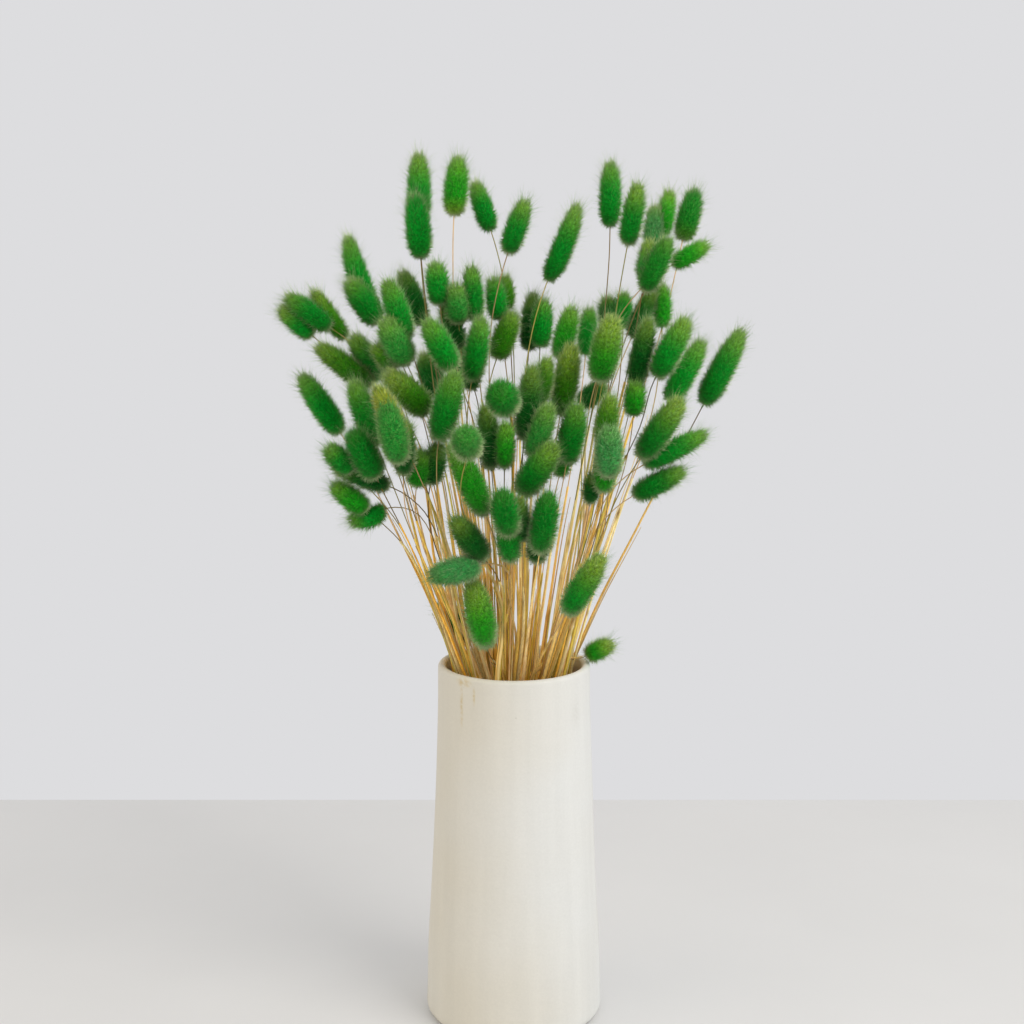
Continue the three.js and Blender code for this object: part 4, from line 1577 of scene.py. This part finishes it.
@dataclass
class StalkBunch:
    """The dry stalks of both sides: round straws in their sheaths, bare thin necks and a few flat blades.

    Attributes:
        stalks: Where the stalks run.
        settled: The heads that they carry.
        foot_radius: A straw's radius at its cut end, in mm.
        sheath_radius: Its radius where its sheath ends.
        slims_from: How far above the mouth the straw starts to slim, in mm.
        neck_radius: The radius of the bare neck above.
        neck_share: The least and the most of a stalk above the mouth that its bare neck takes.
        neck_lap: How far the neck starts down inside the sheath, in mm.
        stoutness: The slimmest and the stoutest straw, as a share of the usual girth.
        lightness: The darkest and the lightest straw.
        tone_draw: How the straws' tones are drawn, with more of them gold than olive.
        pace: How far apart a straw's rings stand, in mm.
        dip: How far below the mouth a stalk still runs straight on, in mm.
        head_inset: How far a stalk runs on inside its head, in mm.
        wave: How far a stalk wavers, in mm.
        wave_lengths: How far along a stalk that takes a radian, sideways and in depth, in mm.
        wave_ease: Over what length it starts above the mouth and ends below the head, in mm.
        joint_count: How many joints a straw has above the mouth.
        joint_from: How far above the mouth the first may lie, in mm.
        joint_room: The least height up to which they are spread, in mm.
        joint_reach: How far along the straw a joint swells, in mm.
        joint_girth: How much thicker the straw is there.
        joint_tone: How strongly it takes the joints' colour.
        blade_every: Every so many stalks one carries a flat blade.
        blades: What the blades are like.
        blade_start: From where to where above the mouth a blade may start, in mm.
        blade_length: The shortest and the longest blade, in mm.
        blade_aside: How far a blade lies off its stalk's middle, as a spread, in mm.
        shreds: What the loose shreds of sheath are like.
        shred_end: How far up the stalk the shortest and the longest shred end, as a share of it.
        shred_gap: How far beside its stalk a shred starts, in mm.
        shred_drift: How far a shred drifts away at most, in mm.
        shred_drifts: The least and the most of that, as shares.
        seed: The draw of tones and bends.
    """

    stalks: Stalks
    settled: Settled
    foot_radius: float = 0.95
    sheath_radius: float = 0.62
    slims_from: float = -20.0
    neck_radius: float = 0.33
    neck_share: tuple[float, float] = (0.2, 0.55)
    neck_lap: float = 9.0
    stoutness: tuple[float, float] = (0.7, 1.25)
    lightness: tuple[float, float] = (0.72, 1.46)
    tone_draw: tuple[float, float] = (1.1, 1.6)
    pace: float = 7.0
    dip: float = 48.0
    head_inset: float = 3.0
    wave: float = 0.3
    wave_lengths: tuple[float, float] = (15.0, 19.0)
    wave_ease: tuple[float, float] = (60.0, 50.0)
    joint_count: int = 2
    joint_from: float = 20.0
    joint_room: float = 30.0
    joint_reach: float = 3.0
    joint_girth: float = 0.2
    joint_tone: float = 0.5
    blade_every: int = 3
    blades: Strip = Strip(1.3, (0.7, 1.1), 0.85, 2, (0.2, 0.75), (0.8, 1.1), 1.0)
    blade_start: tuple[float, float] = (-35.0, 25.0)
    blade_length: tuple[float, float] = (60.0, 110.0)
    blade_aside: float = 0.5
    shreds: Strip = Strip(0.45, (0.7, 1.3), 0.6, 3, (0.0, 1.0), (0.6, 1.25), 0.0)
    shred_end: tuple[float, float] = (0.25, 0.8)
    shred_gap: float = 1.3
    shred_drift: float = 2.5
    shred_drifts: tuple[float, float] = (0.1, 1.0)
    seed: int = 11

    def growth(self) -> bpy.types.NodeTree:
        """Makes the nodes that give each line a round or a flat straw body.

        Returns:
            The tree.
        """
        takes = {
            "Lines": ("NodeSocketGeometry", None),
            "Sides": ("NodeSocketInt", 6),
            "Flatness": ("NodeSocketFloat", 0.28),
            "Straw": ("NodeSocketMaterial", None),
        }
        group = Group.make("straw_bodies", "GeometryNodeTree", takes, {"Bodies": "NodeSocketGeometry"})
        wiring = group.wiring
        flat = wiring.math("GREATER_THAN", wiring.named("flat"), 0.5)
        inputs = {"Geometry": group.take("Lines"), "Selection": flat}
        split = wiring.add("GeometryNodeSeparateGeometry", inputs, domain="POINT").outputs
        bodies = wiring.add("GeometryNodeJoinGeometry")
        for lines, squeeze in ((split["Selection"], group.take("Flatness")), (split["Inverted"], 1.0)):
            curve = wiring.add("GeometryNodeMeshToCurve", {"Mesh": lines})
            inputs = {"Resolution": group.take("Sides"), "Radius": 1.0}
            ring = wiring.add("GeometryNodeCurvePrimitiveCircle", inputs)
            shape = wiring.add("ShaderNodeCombineXYZ", {"X": 1.0, "Y": squeeze, "Z": 1.0})
            ring = wiring.add("GeometryNodeTransform", {"Geometry": ring.outputs["Curve"], "Scale": shape})
            girth = wiring.named("girth")
            inputs = {"Curve": curve, "Profile Curve": ring, "Scale": girth, "Fill Caps": True}
            body = wiring.add("GeometryNodeCurveToMesh", inputs)
            wiring.tree.links.new(body.outputs["Mesh"], bodies.inputs["Geometry"])
        group.give("Bodies", wiring.finished(bodies, group.take("Straw")))
        return wiring.tree

    def stalk_line(self, index: int, draw: np.random.Generator) -> tuple[np.ndarray, np.ndarray]:
        """Draws one stalk from the floor into its head's foot.

        Args:
            index: Which stalk.
            draw: The random draw.

        Returns:
            The line's points, and how far above the mouth each one stands along it, in mm.
        """
        root, gate, *air = self.stalks.points[index]
        below = gate - unit(air[0] - gate) * self.dip
        below[:2] *= min(1.0, length_of(gate[:2]) / length_of(below[:2]))
        inside = self.settled.foot[index] + self.settled.axis[index] * self.head_inset
        line = smooth_through(np.array([root, below, gate, *air, inside]), self.pace)
        travel = np.concatenate([[0], np.cumsum(length_of(np.diff(line, axis=0)))])
        travel -= travel[np.argmin(length_of(line - gate))]
        starts, stops = self.wave_ease
        free = eased(travel, 0, starts) * (1 - eased(travel, travel[-1] - stops, travel[-1]))
        phase = draw.uniform(0, TURN, 2)
        for way, wave_length in enumerate(self.wave_lengths):
            line[:, way] += self.wave * free * np.sin(travel / wave_length + phase[way])
        return line, travel

    def straws(self, index: int, draw: np.random.Generator) -> list[Strand]:
        """Draws a stalk's parts: its sheathed straw, its bare neck, a shred and, on some, a flat blade.

        Args:
            index: Which stalk.
            draw: The random draw.

        Returns:
            The points of each part, with their values by name.
        """
        line, travel = self.stalk_line(index, draw)
        ends = travel[-1] * (1 - draw.uniform(*self.neck_share))
        stout, tone = draw.uniform(*self.stoutness), draw.beta(*self.tone_draw)
        light = draw.uniform(*self.lightness)
        sheathed = travel < ends
        slimming = eased(travel[sheathed], self.slims_from, ends)
        girth = (self.foot_radius + (self.sheath_radius - self.foot_radius) * slimming) * stout
        places = draw.uniform(self.joint_from, max(ends, self.joint_room), self.joint_count)
        joints = np.exp(-((travel[sheathed, None] - places) / self.joint_reach) ** 2).sum(1)
        girth = girth * (1 + self.joint_girth * joints)
        sheath = {"girth": girth, "tone": tone, "light": light, "knot": joints * self.joint_tone}
        neck = {"girth": self.neck_radius, "tone": draw.uniform(0, 1), "light": light, "bare": 1.0}
        parts = [(line[sheathed], sheath), (line[travel > ends - self.neck_lap], neck)]
        if index % self.blade_every == 0:
            parts.append(self.blade(line, travel, draw))
        parts.append(self.shred(line, travel, draw))
        return parts

    def blade(self, line: np.ndarray, travel: np.ndarray, draw: np.random.Generator) -> Strand:
        """Draws a flat blade that lies along a stalk and tapers upward.

        Args:
            line: The stalk's points.
            travel: How far above the mouth each one stands along it, in mm.
            draw: The random draw.

        Returns:
            The blade's points, with their values by name.
        """
        start = draw.uniform(*self.blade_start)
        laid = (travel > start) & (travel < start + draw.uniform(*self.blade_length))
        values = self.blades.values(np.linspace(0, 1, laid.sum()), draw)
        return line[laid] + draw.normal(0, self.blade_aside, 3), values

    def shred(self, line: np.ndarray, travel: np.ndarray, draw: np.random.Generator) -> Strand:
        """Draws a loose shred of sheath that runs up beside a stalk and drifts away from it.

        Args:
            line: The stalk's points.
            travel: How far above the mouth each one stands along it, in mm.
            draw: The random draw.

        Returns:
            The shred's points, with their values by name.
        """
        laid = (travel > -self.dip) & (travel < travel[-1] * draw.uniform(*self.shred_end))
        rise = np.linspace(0, 1, laid.sum())
        turn = draw.uniform(0, TURN)
        drift = self.shred_gap + self.shred_drift * draw.uniform(*self.shred_drifts) * rise ** 2
        aside = np.stack([np.cos(turn) * drift, np.sin(turn) * drift, 0 * drift], 1)
        return line[laid] + aside, self.shreds.values(rise, draw)

    def build_side(
        self, side: int, name: str, node: str, tree: bpy.types.NodeTree, straw: bpy.types.Material
    ) -> None:
        """Builds and dresses the stalks of one side.

        Args:
            side: -1 for the left and 1 for the right.
            name: The piece's name.
            node: The solid that it stands for.
            tree: The nodes that give the bodies.
            straw: The finish.
        """
        draw = np.random.default_rng(self.seed + side)
        parts = []
        for index in np.flatnonzero(self.stalks.side == side):
            parts += self.straws(index, draw)
        edges, count = [], 0
        for points, _ in parts:
            edges += [(start, start + 1) for start in range(count, count + len(points) - 1)]
            count += len(points)
        piece = new_mesh_object(name, np.vstack([points for points, _ in parts]), edges, [])
        for label in ("girth", "tone", "light", "knot", "bare", "flat"):
            rows = [values.get(label, 0.0) + np.zeros(len(points)) for points, values in parts]
            write_attribute(piece.data, label, np.concatenate(rows) * (MM if label == "girth" else 1))
        grow(piece, tree, {"Straw": straw})
        hand_over(piece, [node], "straw")

    def build(self) -> None:
        """Builds both sides of the bunch."""
        tree, straw = self.growth(), DriedStraw().material()
        self.build_side(-1, "stalks_left", "stems_left", tree, straw)
        self.build_side(1, "stalks_right", "stems_right", tree, straw)


# Seed heads


@dataclass(frozen=True)
class HairLayer:
    """One layer of hairs, in metres where a size is set.

    Attributes:
        density: How many hairs a square metre has.
        length: A hair's length.
        width: Its width at its root.
        spread: How untidily the hairs stand.
        tufts: How strongly they lean together in tufts.
        low: The height of their roots on the bake map.
        high: The height of their tips there.
    """

    density: float
    length: float
    width: float
    spread: float
    tufts: float
    low: float
    high: float

    def sockets(self, prefix: str = "") -> dict[str, tuple[str, float]]:
        """Gives the layer as the inputs of a group, each with this layer's value."""
        return {prefix + name.title(): ("NodeSocketFloat", value) for name, value in asdict(self).items()}


@dataclass
class HairGrowth:
    """The growth of fur and awns on a seed head.

    Attributes:
        fur: The short dense fur.
        awns: The long sparse awns, with their density where they stand thickest.
        tuft_scale: How fine the tufts are.
        uneven: The shortest and the longest hair, as a share of the usual length.
        root_width: How far a hair's own width shows across the bake map.
        spin_seed: What is added to a layer's seed for the hairs' turns.
        length_seed: What is added to it for their lengths.
        awn_seed: What is added to the fur's seed for the awns.
    """

    fur: HairLayer = HairLayer(1.48e6, 0.0038, 0.00034, 0.3, 1.4, 0.08, 0.74)
    awns: HairLayer = HairLayer(3.6e5, 0.0096, 0.00014, 0.5, 0.5, 0.82, 0.99)
    tuft_scale: float = 420.0
    uneven: tuple[float, float] = (0.6, 1.25)
    root_width: float = 0.3
    spin_seed: int = 5
    length_seed: int = 9
    awn_seed: int = 100

    def layer(self) -> bpy.types.NodeTree:
        """Makes the nodes for one layer of hairs on a surface that says which way they lie.

        Returns:
            The tree.
        """
        takes = {
            "Surface": ("NodeSocketGeometry", None),
            **self.fur.sockets(),
            "Tuft Scale": ("NodeSocketFloat", self.tuft_scale),
            "Seed": ("NodeSocketInt", 1),
        }
        group = Group.make("hair_layer", "GeometryNodeTree", takes, {"Hairs": "NodeSocketGeometry"})
        wiring, take = group.wiring, group.take
        inputs = {"Mesh": take("Surface"), "Density": take("Density"), "Seed": take("Seed")}
        points = wiring.add("GeometryNodeDistributePointsOnFaces", inputs, distribute_method="RANDOM")
        points = wiring.kept(points, "chance", wiring.drawn(take("Seed"), 0.0, 1.0))
        inputs = {"Min": (-1.0, -1.0, -1.0), "Max": (1.0, 1.0, 1.0), "Seed": take("Seed")}
        stray = wiring.add("FunctionNodeRandomValue", inputs, data_type="FLOAT_VECTOR")
        strayed = wiring.vector_math("SCALE", stray, take("Spread"))
        swirl = wiring.add("ShaderNodeTexNoise", {"Scale": take("Tuft Scale"), "Detail": 0.0})
        swirl = wiring.vector_math("SUBTRACT", swirl.outputs["Color"], (0.5, 0.5, 0.5))
        tufted = wiring.vector_math("SCALE", swirl, take("Tufts"))
        strayed = wiring.vector_math("ADD", strayed, tufted)
        way = wiring.vector_math("ADD", wiring.named("way", "FLOAT_VECTOR"), strayed)
        turn = wiring.add("FunctionNodeAlignRotationToVector", {"Vector": way}, axis="Z")
        angle = wiring.drawn(wiring.math("ADD", take("Seed"), self.spin_seed), 0.0, TURN)
        spin = wiring.add("FunctionNodeAxisAngleToRotation", {"Axis": (0.0, 0.0, 1.0), "Angle": angle})
        inputs = {"Rotation": turn, "Rotate By": spin}
        turn = wiring.add("FunctionNodeRotateRotation", inputs, rotation_space="LOCAL")
        uneven = wiring.drawn(wiring.math("ADD", take("Seed"), self.length_seed), *self.uneven)
        long = wiring.math("MULTIPLY", take("Length"), wiring.math("MULTIPLY", uneven, wiring.named("reach")))
        size = wiring.add("ShaderNodeCombineXYZ", {"X": take("Width"), "Y": take("Width"), "Z": long})
        inputs = {"Vertices": 3, "Radius Top": 0.0, "Radius Bottom": 0.5, "Depth": 1.0}
        hair = wiring.add("GeometryNodeMeshCone", inputs, fill_type="NGON").outputs["Mesh"]
        parts = wiring.add("ShaderNodeSeparateXYZ", [wiring.add("GeometryNodeInputPosition")])
        rise = wiring.between(parts.outputs["Z"], (0.0, 1.0), (take("Low"), take("High")))
        hair = wiring.kept(hair, "rise", rise)
        hair = wiring.kept(hair, "hem", parts.outputs["X"])
        inputs = {"Points": points, "Instance": hair, "Rotation": turn, "Scale": size}
        hairs = wiring.add("GeometryNodeInstanceOnPoints", inputs)
        group.give("Hairs", wiring.add("GeometryNodeRealizeInstances", {"Geometry": hairs}))
        return wiring.tree

    def tree(self) -> bpy.types.NodeTree:
        """Makes the whole coat: a short dense fur, long sparse awns and the map that they are baked through.

        Returns:
            The tree.
        """
        takes = {
            "Core": ("NodeSocketGeometry", None),
            **self.fur.sockets("Fur "),
            **self.awns.sockets("Awn "),
            "Strip": ("NodeSocketFloat", 0.02),
            "Seed": ("NodeSocketInt", 1),
            "Fur": ("NodeSocketMaterial", None),
        }
        group = Group.make("fur_coat", "GeometryNodeTree", takes, {"Head": "NodeSocketGeometry"})
        wiring, take = group.wiring, group.take
        layer = self.layer()
        coat = wiring.add("GeometryNodeJoinGeometry")
        wiring.tree.links.new(take("Core"), coat.inputs["Geometry"])
        bristly = wiring.math("MULTIPLY", take("Awn Density"), wiring.named("awned"))
        later = wiring.math("ADD", take("Seed"), self.awn_seed)
        for prefix, density, seed in (
            ("Fur ", take("Fur Density"), take("Seed")),
            ("Awn ", bristly, later),
        ):
            inputs = {label: take(prefix + label) for label in self.fur.sockets()}
            inputs.update({"Surface": take("Core"), "Density": density, "Seed": seed})
            hairs = wiring.add("GeometryNodeGroup", inputs, node_tree=layer)
            wiring.tree.links.new(hairs.outputs["Hairs"], coat.inputs["Geometry"])
        jitter = wiring.between(wiring.named("chance"), (0.0, 1.0), (-0.5, 0.5))
        own_width = wiring.math("MULTIPLY", wiring.named("hem"), self.root_width)
        offset = wiring.math("ADD", jitter, own_width)
        across = wiring.math("ADD", wiring.named("bank"), wiring.math("MULTIPLY", offset, take("Strip")))
        place = wiring.add("ShaderNodeCombineXYZ", {"X": across, "Y": wiring.named("rise")})
        mapped = wiring.kept(coat, BAKE_MAP, place, "FLOAT2", "CORNER")
        for label in ("way", "reach", "awned", "chance", "hem", "rise", "bank"):
            mapped = wiring.add("GeometryNodeRemoveAttribute", {"Geometry": mapped, "Name": label})
        group.give("Head", wiring.finished(mapped, take("Fur")))
        return wiring.tree


@dataclass
class SeedHeads:
    """The fluffy heads, clump by clump, in mm.

    Attributes:
        settled: Where the heads stand.
        sides: How many sides a core has.
        rings: How many rings a core has between its two ends.
        fur_stand: How far the fur stands out from the core.
        thinnest: The least radius of a core.
        foot_inset: How far the core ends above the foot.
        tip_inset: How far the core ends below the tip.
        fullest: Where the round foot ends and where the slim tip begins, up the head.
        roundness: How full the foot and the tip are.
        bulge: How late both narrow.
        skin_share: How much of a hair's shading follows the skin below it.
        hair_rise: How steeply the hairs at each height point to the tip, in degrees.
        skin_rise: How steeply the skin at each height faces the tip, in degrees.
        hair_reach: How long the hairs at each height are, as a share of the usual length.
        awned: How thickly the awns stand at each height.
        dyes: The darkest and the lightest head of one dye.
        ripe_from: How far up a head the yellow begins where its tip is least ripe.
        ripe_spread: How much further down it begins where the tip is ripest.
        ripe_foot_until: How far up the yellow of a foot reaches.
        bank_margin: The free edge of a head's share of the bake map.
        core_rise: The least height of the core on the bake map, and how far that grows round it.
        strip: How wide a hair's strip of the bake map is, where a clump has one head.
        seed: The draw of tones.
    """

    settled: Settled
    sides: int = 12
    rings: int = 9
    fur_stand: float = 0.8
    thinnest: float = 0.6
    fullest: tuple[float, float] = (0.3, 0.36)
    roundness: tuple[float, float] = (0.5, 0.56)
    bulge: float = 2.4
    foot_inset: float = 1.0
    tip_inset: float = 2.6
    skin_share: float = 0.72
    hair_rise: Profile = ((0, -50), (0.12, -8), (0.4, 34), (0.75, 48), (0.93, 68), (1, 89))
    skin_rise: Profile = ((0, -90), (0.15, -35), (0.5, 4), (0.85, 34), (1, 90))
    hair_reach: Profile = ((0, 0.7), (0.2, 0.85), (0.7, 1.0), (1, 1.2))
    awned: Profile = ((0, 0.05), (0.3, 0.2), (0.7, 0.9), (0.9, 1.6), (1, 2.0))
    dyes: tuple[float, float] = (0.85, 1.18)
    ripe_from: float = 0.75
    ripe_spread: float = 0.45
    ripe_foot_until: float = 0.35
    bank_margin: float = 0.04
    core_rise: tuple[float, float] = (0.01, 0.05)
    strip: float = 0.05
    seed: int = 5

    def fullness(self, share: np.ndarray) -> np.ndarray:
        """Gives the egg's girth along the head, round at the foot and slim at the tip.

        Args:
            share: How far up the head, from 0 to 1.

        Returns:
            The girth there, as a share of the fullest.
        """
        foot, tip = self.fullest
        below = np.clip(1 - share / foot, 0, 1)
        above = np.clip((share - tip) / (1 - tip), 0, 1)
        ends = zip((below, above), self.roundness)
        return np.minimum(*[(1 - end ** self.bulge) ** power for end, power in ends])

    def read(self, profile: Profile, share: np.ndarray) -> np.ndarray:
        """Reads a profile at some shares of a head's length."""
        return np.interp(share, *zip(*profile))

    def dye(self, head: Head, tone: float, along: np.ndarray) -> dict[str, np.ndarray]:
        """Gives the colours of a head's hairs, riper towards its tip and, on some, at its foot.

        Args:
            head: The head.
            tone: How light its dye is.
            along: How far up the head each point lies, from 0 to 1.

        Returns:
            The colours of roots and tips at each point, by name.
        """
        ripe = head.ripe * eased(along, self.ripe_from - self.ripe_spread * head.ripe, 1.0)
        ripe = ripe + head.ripe_foot * (1 - eased(along, 0.0, self.ripe_foot_until))
        ripe = np.clip(ripe, 0, 1)[:, None]
        colours = {}
        for label, plain, aged in (
            ("root_colour", head.shade.value.root, RIPE_ROOT), ("tip_colour", head.shade.value.tip, RIPE_TIP)
        ):
            plain = np.array(linear(plain)) * (tone, tone, tone, 1)
            colours[label] = plain + (np.array(aged) - plain) * ripe
        return colours

    def core(
        self, index: int, bank: tuple[int, int], tone: float
    ) -> tuple[np.ndarray, dict[str, np.ndarray], list]:
        """Shapes one head's core and says how its hairs lie and look.

        Args:
            index: Which head.
            bank: The head's number in its clump and how many heads the clump has.
            tone: How light this head's dye is.

        Returns:
            Its points, their values by name, and its faces.
        """
        settled, head = self.settled, self.settled.heads[index]
        axis, length, radius = settled.axis[index], settled.length[index], settled.radius[index]
        right, back = square_to(axis)
        steps = (1 - np.cos(np.arange(1, self.rings + 1) / (self.rings + 1) * math.pi)) / 2
        ends = self.foot_inset / length, 1 - self.tip_inset / length
        share = np.concatenate([[0], np.repeat(steps, self.sides), [1]])
        angle = np.concatenate([[0], np.tile(np.arange(self.sides) / self.sides * TURN, self.rings), [0]])
        along = ends[0] + (ends[1] - ends[0]) * share
        pole = (share == 0) | (share == 1)
        radial = np.where(pole[:, None], 0, np.cos(angle)[:, None] * right + np.sin(angle)[:, None] * back)
        middle = settled.foot[index] + along[:, None] * length * axis
        middle = middle + (4 * along * (1 - along) * head.bow)[:, None] * right
        girth = np.maximum(radius * self.fullness(along) - self.fur_stand, self.thinnest)
        lift = np.radians(self.read(self.hair_rise, share))
        tilt = np.radians(self.read(self.skin_rise, share))
        number, count = bank
        margin = self.bank_margin
        values = {
            "way": radial * np.cos(lift)[:, None] + axis * np.sin(lift)[:, None],
            "skin": radial * np.cos(tilt)[:, None] + axis * np.sin(tilt)[:, None],
            "reach": self.read(self.hair_reach, share),
            "awned": self.read(self.awned, share),
            "bank": (number + margin + (1 - 2 * margin) * along) / count,
            # The core takes the dark root colour, painted shade in the gaps between the hairs.
            "rise": self.core_rise[0] + self.core_rise[1] * angle / TURN,
            **self.dye(head, tone, along),
        }
        vertices = middle + radial * girth[:, None]
        last = len(vertices) - 1
        faces = ring_faces(self.rings, self.sides, 1)
        faces += cap_faces(self.sides, 1, 0, last - self.sides, last)
        return vertices, values, faces

    def soften(self, mesh: bpy.types.Mesh) -> None:
        """Shades the hairs mostly as the skin that they grow on, so that a coat takes the light as one.

        Args:
            mesh: The clump's mesh.
        """
        skin, own = np.empty(len(mesh.vertices) * 3), np.empty(len(mesh.vertices) * 3)
        mesh.attributes["skin"].data.foreach_get("vector", skin)
        mesh.vertex_normals.foreach_get("vector", own)
        blend = unit(skin.reshape(-1, 3)) * self.skin_share + own.reshape(-1, 3) * (1 - self.skin_share)
        mesh.attributes.remove(mesh.attributes["skin"])
        mesh.normals_split_custom_set_from_vertices(unit(blend).tolist())

    def build(self) -> None:
        """Builds and dresses every clump."""
        tree, fur = HairGrowth().tree(), DyedFur().material()
        draw = np.random.default_rng(self.seed)
        for number, clump in enumerate(CLUMPS):
            members = np.flatnonzero(self.settled.clump == number)
            cores = [
                self.core(index, (place, len(members)), draw.uniform(*self.dyes))
                for place, index in enumerate(members)
            ]
            faces, count = [], 0
            for vertices, _, rings in cores:
                faces += [tuple(corner + count for corner in face) for face in rings]
                count += len(vertices)
            node = f"{'heads' if len(clump) > 1 else 'head'}_{number + 1:02d}"
            vertices = np.vstack([core[0] for core in cores])
            piece = new_mesh_object(f"fluff_{number + 1:02d}", vertices, [], faces)
            for label in cores[0][1]:
                write_attribute(piece.data, label, np.concatenate([core[1][label] for core in cores]))
            grow(piece, tree, {"Fur": fur, "Seed": number + 1, "Strip": self.strip / len(members)})
            self.soften(piece.data)
            hand_over(piece, [node], clump[0].shade.value.slot)


# Studio


@dataclass(frozen=True)
class Softbox:
    """A soft square light.

    Attributes:
        name: Its name.
        place: Where it hangs, in metres.
        aim: What it faces, in metres.
        size: Its side, in metres.
        power: Its power in watts.
        colour: Its colour.
    """

    name: str
    place: tuple[float, float, float]
    aim: tuple[float, float, float]
    size: float
    power: float
    colour: str

    def build(self) -> None:
        """Hangs the light and turns it to what it faces."""
        data = bpy.data.lights.new(self.name, "AREA")
        data.size = self.size
        data.energy = self.power
        data.color = linear(self.colour)[:3]
        light = bpy.data.objects.new(self.name, data)
        light.location = self.place
        way = np.array(self.aim) - self.place
        flat = math.hypot(way[0], way[1])
        light.rotation_euler = (math.atan2(flat, -way[2]), 0.0, math.atan2(way[1], way[0]) - math.pi / 2)
        bpy.context.scene.collection.objects.link(light)


@dataclass
class Studio:
    """The camera, the pale table and the soft light.

    Attributes:
        eye: Where the camera stands, in metres.
        pitch: How far it looks down, in degrees.
        lens: Its focal length for a 36 mm sensor.
        wall: The pale surrounding.
        table_back: How far behind the vase the table ends, in metres.
        table_reach: How far it runs on the other sides, in metres.
        lights: The soft lights.
    """

    eye: tuple[float, float, float] = (-0.0013, -1.050, 0.5099)
    pitch: float = 9.74
    lens: float = 59.77
    wall: str = "dddddf"
    table_back: float = 0.402
    table_reach: float = 3.0
    lights: tuple[Softbox, ...] = (
        Softbox("key_light", (1.0, -0.9, 1.5), (0.0, 0.0, 0.28), 1.1, 15.0, "fffaf2"),
        Softbox("fill_light", (-1.2, -0.5, 0.9), (0.0, 0.0, 0.28), 1.4, 3.0, "ffe9c4"),
    )

    def build_camera(self) -> None:
        """Sets up the photograph's viewing angle."""
        data = bpy.data.cameras.new("viewer")
        data.sensor_width = 36.0
        data.lens = self.lens
        camera = bpy.data.objects.new("viewer", data)
        camera.location = self.eye
        camera.rotation_euler = (math.radians(90 - self.pitch), 0.0, 0.0)
        bpy.context.scene.collection.objects.link(camera)
        bpy.context.scene.camera = camera

    def build_table(self) -> None:
        """Lays the pale table top."""
        reach, back = self.table_reach / MM, self.table_back / MM
        corners = [(-reach, -reach, 0), (reach, -reach, 0), (reach, back, 0), (-reach, back, 0)]
        table = new_mesh_object("table_top", np.array(corners, float), [], [(0, 1, 2, 3)])
        table.data.materials.append(PaleTable().material())

    def build(self) -> None:
        """Builds the whole studio."""
        self.build_camera()
        self.build_table()
        world = bpy.data.worlds.new("pale_room")
        world.use_nodes = True
        world.node_tree.nodes["Background"].inputs["Color"].default_value = linear(self.wall)
        bpy.context.scene.world = world
        bpy.context.scene.view_settings.view_transform = "Standard"
        for light in self.lights:
            light.build()
        log.info("studio ready")


def main() -> None:
    """Builds the vase, the stalks and the heads in the studio."""
    logging.basicConfig(level=logging.INFO, format="%(name)s: %(message)s")
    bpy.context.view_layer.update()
    make_blotches()
    Studio().build()
    Vase().build()
    arrangement = Arrangement()
    settled = arrangement.settle_heads()
    stalks = arrangement.grow_stems(settled)
    log.info("%d heads settled on their stalks", len(settled.heads))
    StalkBunch(stalks, settled).build()
    SeedHeads(settled).build()


if __name__ == "__main__":
    main()
